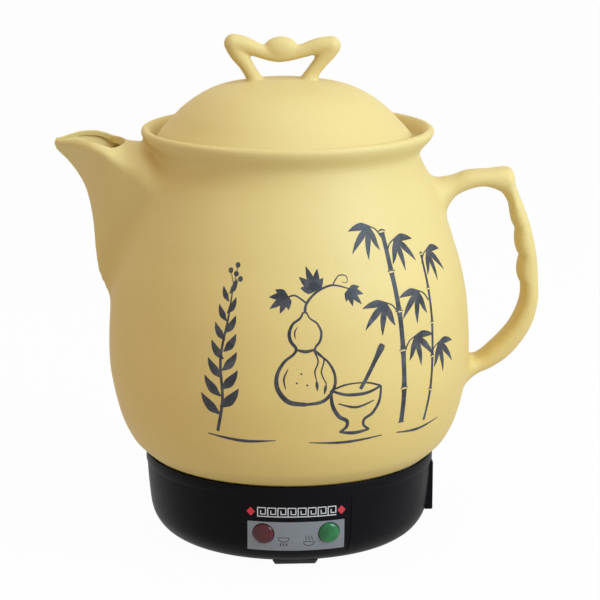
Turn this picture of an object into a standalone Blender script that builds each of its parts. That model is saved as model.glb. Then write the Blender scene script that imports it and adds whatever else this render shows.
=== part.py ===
"""Electric ceramic pot for simmering herbal medicine, made as separate solids.

Metres, +Z up. The origin is the centre of the bottom cover's flat underside, on the
pot's axis. The handle points to +X, the spout to -X and the lamps face -Y.
"""

import math

import bmesh
import bpy
from mathutils import Matrix, Vector

OBJECT_NAME = "herbal_medicine_pot"

# Fits that every piece shares
GAP = 0.0003
OVERRUN = 0.002
MERGE = 0.00001

# Smoothness
ROUND_SEGMENTS = 44
DISC_SEGMENTS = 32
SMALL_SEGMENTS = 12
SCREW_SEGMENTS = 10
LENS_SEGMENTS = 16

# Base housing
BASE_HEIGHT = 0.0454
BASE_LIP_RADIUS = 0.0811
BASE_LIP_WALL = 0.0016
BASE_LIP_DEPTH = 0.0062
BASE_LIP_STEP_WIDTH = 0.0006
BASE_TAPER_WIDTH = 0.0115
BASE_WALL = 0.0024
BASE_EDGE_HEIGHT = 0.0006
BASE_SIDE_SHARES = [(0.0, 0.0), (0.43, 0.1), (0.72, 0.25), (0.89, 0.5), (1.0, 1.0)]

# Bond ring and its shelf in the housing
SHELF_THICKNESS = 0.002
SHELF_WIDTH = 0.010
RING_HEIGHT = 0.0025
RING_WIDTH = 0.0088

# Pot
POT_RADIUS = 0.1008
POT_HEIGHT = 0.1907
POT_SINK_DEPTH = 0.0089
POT_WALL = 0.0051
POT_BOWL_WIDTH = 0.027
POT_LIP_CLEARANCE = 0.0005
BELLY_HEIGHT = 0.0685
NECK_DEPTH = 0.0147
RIM_FLARE_WIDTH = 0.0078
SEAT_DEPTH = 0.0083
SEAT_RADIUS = 0.0729
SEAT_LEDGE_WIDTH = 0.0045
FLARE_WIDTH = 0.0045
BOWL_SHARES = [(1.0, 1.0), (0.68, 0.48), (0.35, 0.14), (0.0, 0.0)]
LOWER_BELLY_SHARES = [
    (1.0, 1.0), (0.977, 0.815), (0.858, 0.555), (0.64, 0.285), (0.408, 0.133), (0.183, 0.052),
]
UPPER_BELLY_SHARES = [
    (1.0, 1.0), (0.975, 0.958), (0.82, 0.889), (0.619, 0.795), (0.425, 0.639), (0.205, 0.457),
    (0.045, 0.225),
]
RIM_SHARES = [(0.705, 1.0), (0.97, 0.94), (0.93, 0.74), (0.487, 0.408), (0.064, 0.19)]
FLARE_SHARES = [(1.0, 1.0), (0.73, 0.81), (0.25, 0.28), (0.0, 0.0)]

# Spout: rows of keel x, keel drop, crown x, crown drop, half width and ridge height, all as
# shares, and the half width of the mouth, which is zero where the deck is closed
SPOUT_REACH_LENGTH = 0.030
SPOUT_DEPTH = 0.0957
SPOUT_HALF_WIDTH = 0.039
SPOUT_WALL = 0.0046
MOUTH_HALF_WIDTH = 0.0123
SPOUT_SHARES = [
    (0.999, 0.109, 0.993, 0.077, 0.077, 0.55, 0.0),
    (0.985, 0.139, 0.971, 0.052, 0.159, 0.60, 0.18),
    (0.951, 0.182, 0.917, 0.030, 0.238, 0.70, 0.47),
    (0.914, 0.246, 0.872, 0.023, 0.341, 0.727, 0.73),
    (0.878, 0.337, 0.818, 0.025, 0.477, 0.75, 0.96),
    (0.858, 0.431, 0.772, 0.038, 0.569, 0.772, 1.0),
    (0.8425, 0.544, 0.734, 0.065, 0.623, 0.808, 0.9),
    (0.8295, 0.681, 0.703, 0.077, 0.669, 0.841, 0.57),
    (0.816, 0.796, 0.680, 0.087, 0.708, 0.853, 0.0),
    (0.795, 0.898, 0.6575, 0.088, 0.746, 0.850, 0.0),
    (0.7615, 1.0, 0.638, 0.088, 0.782, 0.850, 0.0),
    (0.688, 1.141, 0.573, 0.107, 0.908, 0.830, 0.0),
    (0.535, 1.12, 0.459, 0.138, 1.0, 0.745, 0.0),
]
CROWN_POWER = 2.3
CROWN_POINTS = 4
SIDE_POINTS = 5
KEEL_ROUNDING_SHARE = 0.06
KEEL_WALL_LIMIT_SHARE = 0.55

# Strainer holes through the pot's wall at the spout's root
STRAINER_RADIUS = 0.0022
STRAINER_PITCH = 0.010
STRAINER_ROWS = 4
STRAINER_DEPTH = 0.0372
STRAINER_SEGMENTS = 8

# Handle: rows of outer x, outer drop, inner x and inner drop, all as shares
HANDLE_REACH_LENGTH = 0.039
HANDLE_TOP_DEPTH = 0.0224
HANDLE_HEIGHT = 0.120
HANDLE_WIDTH = 0.020
HANDLE_ROOT_WIDTH = 0.030
HANDLE_POWER = 2.5
FINGER_DEPTH = 0.0024
FINGER_COUNT = 3
FINGER_FIRST_ROW = 6
FINGER_LAST_ROW = 9
HANDLE_SHARES = [
    (-0.79, 0.065, -0.79, 0.24),
    (-0.43, 0.046, -0.367, 0.19),
    (-0.25, 0.033, -0.238, 0.127),
    (-0.046, 0.015, -0.046, 0.104),
    (0.26, 0.0075, 0.185, 0.09),
    (0.569, 0.0, 0.451, 0.119),
    (0.677, 0.069, 0.559, 0.173),
    (0.831, 0.219, 0.626, 0.261),
    (0.944, 0.373, 0.697, 0.39),
    (1.0, 0.54, 0.736, 0.544),
    (0.969, 0.648, 0.705, 0.636),
    (0.831, 0.769, 0.533, 0.74),
    (0.59, 0.881, 0.285, 0.826),
    (0.326, 0.951, 0.077, 0.874),
    (0.082, 0.997, -0.038, 0.879),
    (-0.277, 1.123, -0.328, 0.865),
]
HANDLE_STEPS = [1, 1, 1, 2, 2, 2, 6, 6, 6, 2, 2, 2, 2, 1, 1]
HANDLE_RING_POINTS = 12

# Lid
LID_HEIGHT = 0.0312
LID_EDGE_THICKNESS = 0.0038
LID_WALL = 0.0048
LID_PLAY_CLEARANCE = 0.0021
LID_PLUG_DEPTH = 0.011
LID_PLUG_WALL = 0.0045
LID_LIFT = 0.080
DOME_SHARES = [
    (0.0, 1.0), (0.292, 0.94), (0.48, 0.84), (0.624, 0.71), (0.74, 0.56), (0.88, 0.26), (1.0, 0.0),
]

# Bow knob on the lid
BOW_HALF_WIDTH = 0.0279
BOW_OFFSET = -0.0022
BOW_HEIGHT = 0.0232
BOW_TUBE_RADIUS = 0.0045
BOW_LOBE_RADIUS = 0.0051
BOW_LEG_OFFSET = 0.0145
BOW_LEG_DEPTH = 0.004
BOW_BAR_DEPTH = 0.0056
BOW_BEAD_HALF_WIDTH = 0.0101
BOW_BEAD_HALF_DEPTH = 0.0054
BOW_BEAD_HALF_HEIGHT = 0.0066
BOW_BEAD_OFFSET = 0.0027
BOW_BAR_SHARES = [(1.0, 0.0), (0.8, 0.08), (0.55, 0.45), (0.3, 0.87), (0.1, 0.99)]
BOW_SEGMENTS = 12

# Bottom cover, feet and screws
COVER_THICKNESS = 0.0024
COVER_BOSS_RADIUS = 0.0054
COVER_BOSS_HEIGHT = 0.0028
POST_RADIUS = 0.0045
POST_INSET_WIDTH = 0.0086
POST_COUNT = 4
POST_FIRST_ANGLE = math.radians(45)
RIB_THICKNESS = 0.0022
SCREW_RADIUS = 0.00145
SCREW_HEAD_RADIUS = 0.0032
SCREW_HEAD_HEIGHT = 0.002
SCREW_SLOT_WIDTH = 0.0007
SCREW_SLOT_DEPTH = 0.0009
COVER_SCREW_LENGTH = 0.0085
SHIELD_SCREW_LENGTH = 0.006
FOOT_COUNT = 4
FOOT_FIRST_ANGLE = math.radians(-90)
FOOT_INSET_WIDTH = 0.0026
FOOT_DEPTH = 0.012
FOOT_WIDTH = 0.025
FOOT_HEIGHT = 0.003
FOOT_TAPER_SHARE = 0.88
FOOT_PEG_RADIUS = 0.003
FOOT_PEG_HEAD_RADIUS = 0.0042
FOOT_PEG_HEAD_HEIGHT = 0.0015
VENT_WIDTH = 0.002
VENT_LENGTH = 0.016
VENT_PITCH = 0.0055
VENT_COUNT = 5
VENT_OFFSET = 0.034

# Heating stack under the pot
PLATE_CLEARANCE = 0.0035
PLATE_THICKNESS = 0.004
LEG_COUNT = 3
LEG_INSET_WIDTH = 0.0047
LEG_RADIUS = 0.0034
LEG_FIRST_ANGLE = math.radians(60)
LEG_SCREW_DEPTH = 0.006
ELEMENT_INSET_WIDTH = 0.013
ELEMENT_RADIUS = 0.0033
ELEMENT_END_HALF_WIDTH = 0.01464
ELEMENT_BEND_RADIUS = 0.007
ELEMENT_TAIL_LENGTH = 0.0075
ELEMENT_PIN_RADIUS = 0.0012
ELEMENT_PIN_LENGTH = 0.004
ELEMENT_SEGMENT_ANGLE = math.radians(11)
BUSH_WALL = 0.002
BUSH_FLANGE_WIDTH = 0.0015
BUSH_FLANGE_HEIGHT = 0.0015
SHIELD_CLEARANCE = 0.006
SHIELD_SHEET_THICKNESS = 0.001
SHIELD_FLANGE_WIDTH = 0.004
SHIELD_WALL_HEIGHT = 0.0115
SHIELD_EAR_WIDTH = 0.012
SHIELD_EAR_LENGTH = 0.0115
SHIELD_EAR_ROOT_WIDTH = 0.0025

# Thermostat and thermal fuse
THERMOSTAT_RADIUS = 0.008
THERMOSTAT_DEPTH = 0.0038
THERMOSTAT_TAB_WIDTH = 0.004
THERMOSTAT_TAB_THICKNESS = 0.0008
THERMOSTAT_TAB_LENGTH = 0.004
THERMOSTAT_TAB_OFFSET = 0.0045
BRACKET_LENGTH = 0.028
BRACKET_WIDTH = 0.020
BRACKET_SHEET_THICKNESS = 0.001
BRACKET_RIVET_RADIUS = 0.0013
BRACKET_RIVET_OFFSET = 0.0115
FUSE_RADIUS = 0.002
FUSE_LENGTH = 0.013
FUSE_LEAD_RADIUS = 0.0006
FUSE_LEAD_LENGTH = 0.004
FUSE_INSET_WIDTH = 0.006
FUSE_ALONG_SHARE = 1 / 3
CLIP_LENGTH = 0.007
CLIP_WIDTH = 0.010

# Indicator plate and lamps
PLATE_LOW_HEIGHT = 0.0085
PLATE_HIGH_HEIGHT = 0.0256
PLATE_HALF_ANGLE = math.radians(20.6)
PLATE_STEP_DEPTH = 0.0003
PLATE_SHEET_THICKNESS = 0.0009
PLATE_STEPS = 10
FRONT_ANGLE = math.radians(-90)
LAMP_ANGLE = math.radians(12.9)
LAMP_HEIGHT = 0.0187
LENS_RADIUS = 0.00575
LENS_BORE_RADIUS = 0.0042
LENS_CROWN_HEIGHT = 0.0012
LENS_STAND_HEIGHT = 0.0012
LENS_TIP_WALL = 0.0016
LENS_LENGTH = 0.0135
HOLDER_RADIUS = 0.008
HOLDER_LENGTH = 0.0105
HOLDER_BACK_THICKNESS = 0.0022
HOLDER_SETBACK_DEPTH = 0.0052
BULB_RADIUS = 0.0023
BULB_LENGTH = 0.0125
LENS_CROWN_SHARES = [(0.0, 1.0), (0.5, 0.78), (0.87, 0.3), (1.0, 0.0)]

# Power inlet on the handle side
BOSS_SETBACK_DEPTH = 0.0008
BOSS_HALF_WIDTH = 0.0180
BOSS_LOW_HEIGHT = 0.0105
BOSS_SKIN_THICKNESS = 0.0032
BOSS_PAD_DEPTH = 0.0068
BOSS_PAD_HEIGHT = 0.0310
SOCKET_HALF_WIDTH = 0.0109
SOCKET_HALF_HEIGHT = 0.0080
SOCKET_HEIGHT = 0.0205
SOCKET_WALL = 0.0017
SOCKET_LENGTH = 0.0177
SOCKET_SETBACK_DEPTH = 0.0006
SOCKET_RECESS_DEPTH = 0.0125
SOCKET_FLANGE_HALF_WIDTH = 0.0174
SOCKET_FLANGE_THICKNESS = 0.0020
SOCKET_SCREW_OFFSET = 0.0144
SOCKET_SCREW_LENGTH = 0.0042
SOCKET_FILLET_RADIUS = 0.003
PIN_WIDTH = 0.0035
PIN_THICKNESS = 0.0018
PIN_REACH_LENGTH = 0.0085
PIN_TAIL_LENGTH = 0.0028
PIN_SPACING = 0.0055
PIN_OFFSET = 0.0022
EARTH_OFFSET = 0.0026

# Inner leads
LEAD_RADIUS = 0.0009
LEAD_SIDES = 1
LEAD_STEPS = 9
LEAD_STUB_LENGTH = 0.0025
LEAD_REACH_SHARE = 0.35
LEAD_SAG_DEPTH = 0.003
LAMP_LEAD_SAG_DEPTH = 0.008

# Places that follow from the sizes above
POT_BOTTOM = BASE_HEIGHT - POT_SINK_DEPTH
POT_TOP = POT_BOTTOM + POT_HEIGHT
BASE_FOOT_RADIUS = BASE_LIP_RADIUS - BASE_TAPER_WIDTH
POT_LIP_RADIUS = BASE_LIP_RADIUS - BASE_LIP_WALL - POT_LIP_CLEARANCE
POT_FOOT_RADIUS = POT_LIP_RADIUS - POT_BOWL_WIDTH
BELLY_LEVEL = POT_BOTTOM + BELLY_HEIGHT
NECK_LEVEL = POT_TOP - NECK_DEPTH
SEAT_LEVEL = POT_TOP - SEAT_DEPTH
NECK_BORE = SEAT_RADIUS - SEAT_LEDGE_WIDTH
NECK_RADIUS = NECK_BORE + POT_WALL
FLARE_RADIUS = SEAT_RADIUS + FLARE_WIDTH
LID_RADIUS = SEAT_RADIUS - LID_PLAY_CLEARANCE
LID_PLUG_RADIUS = NECK_BORE - LID_PLAY_CLEARANCE
LID_SHIFT = GAP - LID_PLAY_CLEARANCE
LID_LEVEL = SEAT_LEVEL + GAP
LID_TOP = LID_LEVEL + LID_EDGE_THICKNESS + LID_HEIGHT
POST_CIRCLE_RADIUS = BASE_FOOT_RADIUS - POST_INSET_WIDTH
FOOT_OUTER_RADIUS = BASE_FOOT_RADIUS - FOOT_INSET_WIDTH
SHIELD_RADIUS = POST_CIRCLE_RADIUS - POST_RADIUS
SHIELD_WALL_RADIUS = SHIELD_RADIUS - SHIELD_FLANGE_WIDTH
SHIELD_EAR_ROOT = SHIELD_RADIUS - SHIELD_EAR_ROOT_WIDTH
PLATE_RADIUS = SHIELD_WALL_RADIUS - PLATE_CLEARANCE
LEG_CIRCLE_RADIUS = PLATE_RADIUS - LEG_INSET_WIDTH
ELEMENT_CIRCLE_RADIUS = PLATE_RADIUS - ELEMENT_INSET_WIDTH
ELEMENT_END_ANGLE = math.asin(ELEMENT_END_HALF_WIDTH / ELEMENT_CIRCLE_RADIUS)
FUSE_X = ELEMENT_CIRCLE_RADIUS * FUSE_ALONG_SHARE
FUSE_Y = FUSE_INSET_WIDTH - ELEMENT_CIRCLE_RADIUS
HEAT_TOP = POT_BOTTOM - GAP
PLATE_UNDER = HEAT_TOP - PLATE_THICKNESS
ELEMENT_LEVEL = PLATE_UNDER - GAP - ELEMENT_RADIUS
SHIELD_TOP = ELEMENT_LEVEL - ELEMENT_RADIUS - SHIELD_CLEARANCE
SHIELD_UNDER = SHIELD_TOP - SHIELD_SHEET_THICKNESS
POST_TOP = SHIELD_UNDER - GAP
POST_BOTTOM = COVER_THICKNESS + COVER_BOSS_HEIGHT + GAP
COVER_RADIUS = BASE_FOOT_RADIUS - BASE_WALL - GAP
SCREW_HOLE_RADIUS = SCREW_RADIUS + GAP
BOSS_FACE = BASE_LIP_RADIUS - BOSS_SETBACK_DEPTH
BOSS_PAD_FACE = BOSS_FACE - BOSS_PAD_DEPTH
SOCKET_FACE = BOSS_FACE - SOCKET_SETBACK_DEPTH
SOCKET_BACK = SOCKET_FACE - SOCKET_LENGTH
SOCKET_BOTTOM = SOCKET_FACE - SOCKET_RECESS_DEPTH
FLANGE_FRONT = BOSS_PAD_FACE - GAP


class Finish:
    """A plain material: name, colour, roughness and metallic value."""

    def __init__(self, name, colour, roughness, metallic=0.0):
        self.name = name
        self.colour = colour
        self.roughness = roughness
        self.metallic = metallic

    def make(self, piece):
        """One material for one piece."""
        made = bpy.data.materials.new(piece + "_" + self.name)
        made.use_nodes = True
        made.diffuse_color = (*self.colour, 1.0)
        shader = made.node_tree.nodes["Principled BSDF"]
        shader.inputs["Base Color"].default_value = (*self.colour, 1.0)
        shader.inputs["Roughness"].default_value = self.roughness
        shader.inputs["Metallic"].default_value = self.metallic
        return made


CERAMIC = Finish("ceramic", (0.69, 0.53, 0.20), 0.62)
BLACK_PLASTIC = Finish("black_plastic", (0.012, 0.011, 0.013), 0.42)
GREY_PLASTIC = Finish("grey_plastic", (0.20, 0.22, 0.24), 0.45)
RED_LENS = Finish("red_lens", (0.22, 0.02, 0.02), 0.18)
GREEN_LENS = Finish("green_lens", (0.02, 0.28, 0.06), 0.18)
RUBBER = Finish("rubber", (0.02, 0.02, 0.02), 0.8)
SILICONE = Finish("silicone", (0.55, 0.55, 0.52), 0.5)
STEEL = Finish("steel", (0.55, 0.56, 0.57), 0.35, 1.0)
ALUMINIUM = Finish("aluminium", (0.78, 0.79, 0.80), 0.38, 1.0)
BRASS = Finish("brass", (0.70, 0.52, 0.22), 0.3, 1.0)
PORCELAIN = Finish("porcelain", (0.80, 0.79, 0.75), 0.3)
GLASS = Finish("glass", (0.85, 0.60, 0.45), 0.05)
WHITE_PLASTIC = Finish("white_plastic", (0.75, 0.74, 0.70), 0.45)
BROWN_LEAD = Finish("brown_lead", (0.12, 0.04, 0.015), 0.5)
BLUE_LEAD = Finish("blue_lead", (0.02, 0.06, 0.30), 0.5)
GREEN_LEAD = Finish("green_lead", (0.20, 0.35, 0.03), 0.5)
RED_LEAD = Finish("red_lead", (0.35, 0.02, 0.02), 0.5)


def clear_scene():
    """Remove every object that is already in the file."""
    for obj in list(bpy.data.objects):
        bpy.data.objects.remove(obj, do_unlink=True)


def make_collection(name):
    """A new collection under the scene's own."""
    made = bpy.data.collections.new(name)
    bpy.context.scene.collection.children.link(made)
    return made


clear_scene()
PARTS = make_collection(OBJECT_NAME)
CUTTERS = make_collection("cutters")


def place(obj, finish):
    """Put a finished piece among the parts, with a material of its own."""
    PARTS.objects.link(obj)
    obj.data.materials.clear()
    obj.data.materials.append(finish.make(obj.name))
    if obj.type == "MESH":
        obj.data.shade_smooth()
        obj.data.set_sharp_from_angle(angle=math.radians(35))
    return obj


def as_tool(obj):
    """Put an object among the cutters, out of the finished object."""
    CUTTERS.objects.link(obj)
    obj.hide_render = True
    obj.display_type = "WIRE"
    return obj


def from_bmesh(name, bm):
    """Turn an edited mesh into an object that is in no collection yet."""
    mesh = bpy.data.meshes.new(name)
    bm.to_mesh(mesh)
    bm.free()
    return bpy.data.objects.new(name, mesh)


def turned(name, profile, segments=ROUND_SEGMENTS, closed=False):
    """A turned solid: an outline at +X that runs down its outer side."""
    edges = [(i, i + 1) for i in range(len(profile) - 1)]
    if closed:
        edges.append((len(profile) - 1, 0))
    mesh = bpy.data.meshes.new(name)
    mesh.from_pydata([(radius, 0, height) for radius, height in profile], edges, [])
    obj = bpy.data.objects.new(name, mesh)
    screw = obj.modifiers.new("turn", "SCREW")
    screw.steps = segments
    screw.render_steps = segments
    screw.use_merge_vertices = True
    screw.merge_threshold = MERGE
    screw.use_smooth_shade = True
    return obj


def block(name, low, high):
    """A rectangular block between two corners."""
    bm = bmesh.new()
    bmesh.ops.create_cube(bm, size=1)
    low = Vector(low)
    high = Vector(high)
    size = high - low
    bmesh.ops.transform(
        bm,
        matrix=Matrix.Translation((low + high) / 2) @ Matrix.Diagonal((*size, 1)),
        verts=bm.verts,
    )
    return from_bmesh(name, bm)


def rod(name, radius, start, end, segments=SMALL_SEGMENTS):
    """A round rod between two points."""
    start = Vector(start)
    end = Vector(end)
    along = end - start
    bm = bmesh.new()
    bmesh.ops.create_cone(
        bm, cap_ends=True, segments=segments, radius1=radius, radius2=radius, depth=along.length
    )
    half_step = Matrix.Rotation(math.pi / segments, 4, "Z")
    turn = along.to_track_quat("Z", "Y").to_matrix().to_4x4() @ half_step
    bmesh.ops.transform(bm, matrix=Matrix.Translation((start + end) / 2) @ turn, verts=bm.verts)
    return from_bmesh(name, bm)


def bead(name, half_sizes, centre, segments=SMALL_SEGMENTS):
    """A ball stretched to three half sizes."""
    bm = bmesh.new()
    stretch = Matrix.Diagonal((*half_sizes, 1)) @ Matrix.Rotation(math.pi / segments, 4, "Z")
    bmesh.ops.create_uvsphere(
        bm, u_segments=segments, v_segments=segments // 2, radius=1,
        matrix=Matrix.Translation(centre) @ stretch,
    )
    return from_bmesh(name, bm)


def loft(name, rings):
    """A closed skin through like rings of points, capped at both ends."""
    bm = bmesh.new()
    rows = [[bm.verts.new(point) for point in ring] for ring in rings]
    for near, far in zip(rows, rows[1:]):
        for i in range(len(near)):
            j = (i + 1) % len(near)
            bm.faces.new((near[i], near[j], far[j], far[i]))
    bm.faces.new(rows[0])
    bm.faces.new(rows[-1])
    bmesh.ops.recalc_face_normals(bm, faces=bm.faces)
    return from_bmesh(name, bm)


def sector(name, outline, half_angle, middle, steps):
    """A closed outline swept about the axis through twice a half angle."""
    bm = bmesh.new()
    verts = [bm.verts.new((radius, 0, height)) for radius, height in outline]
    face = bm.faces.new(verts)
    bmesh.ops.rotate(
        bm, verts=bm.verts, cent=(0, 0, 0), matrix=Matrix.Rotation(middle - half_angle, 3, "Z")
    )
    bmesh.ops.spin(
        bm, geom=[face], cent=(0, 0, 0), axis=(0, 0, 1), angle=2 * half_angle, steps=steps
    )
    bmesh.ops.recalc_face_normals(bm, faces=bm.faces)
    return from_bmesh(name, bm)


def combine(obj, other, operation):
    """Join another solid to a piece, or cut it out of the piece."""
    if other.name not in CUTTERS.objects:
        as_tool(other)
    change = obj.modifiers.new(other.name, "BOOLEAN")
    change.operation = operation
    change.solver = "EXACT"
    change.object = other


def join(obj, *others):
    """Fuse solids to a piece."""
    for other in others:
        combine(obj, other, "UNION")


def cut(obj, *others):
    """Cut solids out of a piece."""
    for other in others:
        combine(obj, other, "DIFFERENCE")


def tube(name, points, radius, sides):
    """A round tube along a run of points, with filled ends."""
    curve = bpy.data.curves.new(name, "CURVE")
    curve.dimensions = "3D"
    curve.bevel_depth = radius
    curve.bevel_resolution = sides
    curve.use_fill_caps = True
    spline = curve.splines.new("POLY")
    spline.points.add(len(points) - 1)
    for slot, point in zip(spline.points, points):
        slot.co = (*point, 1)
    return bpy.data.objects.new(name, curve)


def tube_mesh(name, points, radius, sides):
    """A tube made a welded mesh, so that it can be joined or cut."""
    drawn = tube(name + "_path", points, radius, sides)
    bpy.context.scene.collection.objects.link(drawn)
    bpy.context.view_layer.update()
    graph = bpy.context.evaluated_depsgraph_get()
    mesh = bpy.data.meshes.new_from_object(drawn.evaluated_get(graph))
    bpy.data.objects.remove(drawn, do_unlink=True)
    bm = bmesh.new()
    bm.from_mesh(mesh)
    bmesh.ops.remove_doubles(bm, verts=bm.verts, dist=MERGE)
    bmesh.ops.recalc_face_normals(bm, faces=bm.faces)
    bm.to_mesh(mesh)
    bm.free()
    mesh.name = name
    return bpy.data.objects.new(name, mesh)


def smooth_run(points, steps):
    """Points along a smooth curve through the given ones (Catmull-Rom)."""
    points = [Vector(point) for point in points]
    ends = [2 * points[0] - points[1]] + points + [2 * points[-1] - points[-2]]
    run = []
    for a, b, c, d in zip(ends, ends[1:], ends[2:], ends[3:]):
        for i in range(steps):
            t = i / steps
            run.append(
                0.5 * (2 * b + (c - a) * t + (2 * a - 5 * b + 4 * c - d) * t ** 2
                       + (3 * b - a - 3 * c + d) * t ** 3)
            )
    run.append(points[-1])
    return run


def between(shares, start, end):
    """Outline points between two corners, from shares of the way in each direction."""
    return [
        (start[0] + (end[0] - start[0]) * across, start[1] + (end[1] - start[1]) * up)
        for across, up in shares
    ]


def inset(profile, depth):
    """An outline that runs down an outer side, moved inwards by a wall."""
    moved = []
    for i, (radius, height) in enumerate(profile):
        before = Vector(profile[max(i - 1, 0)])
        after = Vector(profile[min(i + 1, len(profile) - 1)])
        along = (after - before).normalized()
        moved.append((radius + along.y * depth, height - along.x * depth))
    return moved


def radius_at(profile, height):
    """The radius of an outline that runs downwards, at a height."""
    for (r_high, z_high), (r_low, z_low) in zip(profile, profile[1:]):
        if z_low <= height <= z_high and z_high > z_low:
            return r_low + (r_high - r_low) * (height - z_low) / (z_high - z_low)
    raise ValueError("height is outside the outline")


def around(count, first=0.0):
    """Angles of like pieces spaced evenly about the axis."""
    return [first + 2 * math.pi * i / count for i in range(count)]


def at_angle(radius, angle, height):
    """A point at a radius, an angle and a height."""
    return Vector((radius * math.cos(angle), radius * math.sin(angle), height))


# Pot


def pot_outline():
    """The pot's outside from the rim's crest down to its foot."""
    lip = (POT_LIP_RADIUS, BASE_HEIGHT)
    belly = (POT_RADIUS, BELLY_LEVEL)
    neck = (NECK_RADIUS, NECK_LEVEL)
    rim = (NECK_RADIUS + RIM_FLARE_WIDTH, POT_TOP)
    foot = (POT_FOOT_RADIUS, POT_BOTTOM)
    return (
        between(RIM_SHARES, neck, rim)
        + between(UPPER_BELLY_SHARES, belly, neck)
        + between(LOWER_BELLY_SHARES, lip, belly)
        + between(BOWL_SHARES, foot, lip)
    )


def pot_inner_outline():
    """The pot's inside wall from the neck down to the floor's edge."""
    below_neck = pot_outline()[len(RIM_SHARES):]
    wall = inset(below_neck, POT_WALL)
    return wall[:1] + wall[2:-2:2] + wall[-2:]


def pot_cavity():
    """The space inside the pot, with the lid's seat and the rim's inner flare."""
    seat = (SEAT_RADIUS, SEAT_LEVEL)
    flare = between(FLARE_SHARES, seat, (FLARE_RADIUS, POT_TOP))
    inner = pot_inner_outline()
    inner[0] = (NECK_BORE, NECK_LEVEL)
    profile = [(0, POT_TOP + OVERRUN), (FLARE_RADIUS, POT_TOP + OVERRUN)]
    profile += flare + [(NECK_BORE, SEAT_LEVEL)] + inner + [(0, inner[-1][1])]
    return turned("pot_cavity", profile)


def spout_frame(row):
    """A spout section's keel point, crown point and sizes, from its row of shares."""
    keel_x, keel_drop, crown_x, crown_drop, width, ridge, mouth = row
    tip = POT_RADIUS + SPOUT_REACH_LENGTH
    keel = Vector((-keel_x * tip, 0, POT_TOP - keel_drop * SPOUT_DEPTH))
    crown = Vector((-crown_x * tip, 0, POT_TOP - crown_drop * SPOUT_DEPTH))
    return keel, crown, width * SPOUT_HALF_WIDTH, ridge, mouth * MOUTH_HALF_WIDTH


def mirrored_ring(half):
    """A full ring of points from the half that runs from the crown to the keel."""
    other = [Vector((point.x, -point.y, point.z)) for point in reversed(half[1:-1])]
    return half + other


def side_run(keel, ridge_point, half_width):
    """Points down a spout's side, from its ridge to its rounded keel."""
    points = []
    full = math.sqrt(1 + 2 * KEEL_ROUNDING_SHARE)
    for i in range(1, SIDE_POINTS + 1):
        left = (1 - i / SIDE_POINTS) ** 1.5
        width = math.sqrt(left ** 2 + 2 * KEEL_ROUNDING_SHARE * left) / full
        point = keel.lerp(ridge_point, left)
        points.append(Vector((point.x, half_width * width, point.z)))
    return points


def spout_ring(row):
    """One section of the spout's outside: a crowned deck, a ridge and a V-shaped keel."""
    keel, crown, half_width, ridge, _ = spout_frame(row)
    ridge_point = keel.lerp(crown, ridge)
    half = []
    for i in range(CROWN_POINTS + 1):
        angle = math.pi / 2 * i / CROWN_POINTS
        across = math.sin(angle) ** (2 / CROWN_POWER)
        up = abs(math.cos(angle)) ** (2 / CROWN_POWER)
        point = ridge_point.lerp(crown, up)
        half.append(Vector((point.x, half_width * across, point.z)))
    half += side_run(keel, ridge_point, half_width)
    return mirrored_ring(half)


def channel_ring(row):
    """One section of the spout's bore, open at the top where the mouth is."""
    keel, crown, half_width, ridge, mouth = spout_frame(row)
    height = (crown - keel).length
    up = (crown - keel).normalized()
    slant = math.hypot(1, ridge * height / half_width)
    keel_wall = min(SPOUT_WALL * slant, KEEL_WALL_LIMIT_SHARE * height)
    inner_keel = keel + up * keel_wall
    ridge_point = keel.lerp(crown, max(ridge, (keel_wall + GAP) / height))
    inner_half = max(half_width - SPOUT_WALL * slant / math.sqrt(slant ** 2 - 1), mouth)
    if mouth > 0:
        top = crown + up * OVERRUN
        top_half = mouth
    else:
        top = crown - up * SPOUT_WALL
        top_half = inner_half * 0.6
    half = []
    for i in range(CROWN_POINTS + 1):
        share = i / CROWN_POINTS
        if i < CROWN_POINTS - 1:
            width = top_half * share * CROWN_POINTS / (CROWN_POINTS - 2)
            point = top
        else:
            drop = (i - CROWN_POINTS + 2) / 2
            width = top_half + (inner_half - top_half) * drop
            point = top.lerp(ridge_point, drop)
        half.append(Vector((point.x, width, point.z)))
    half += side_run(inner_keel, ridge_point, inner_half)
    return mirrored_ring(half)


def spout():
    """The hollow spout, which runs on into the pot's body."""
    shell = as_tool(loft("spout", [spout_ring(row) for row in SPOUT_SHARES]))
    halfway = [
        [(one + other) / 2 for one, other in zip(row, following)]
        for row, following in zip(SPOUT_SHARES[1:], SPOUT_SHARES[2:])
    ]
    cut(shell, loft("spout_channel", [channel_ring(row) for row in halfway]))
    return shell


def strainer_holes():
    """Rods that pierce the pot's wall inside the spout's root."""
    outline = pot_outline()
    rods = []
    for row in range(STRAINER_ROWS):
        height = POT_TOP - STRAINER_DEPTH - row * STRAINER_PITCH
        outer = radius_at(outline, height)
        count = STRAINER_ROWS - row
        for i in range(count):
            across = (i - (count - 1) / 2) * STRAINER_PITCH
            start = -outer - OVERRUN
            end = -outer + 2 * POT_WALL
            rods.append(
                rod("strainer_hole", STRAINER_RADIUS, (start, across, height),
                    (end, across, height), STRAINER_SEGMENTS)
            )
    return rods


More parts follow.
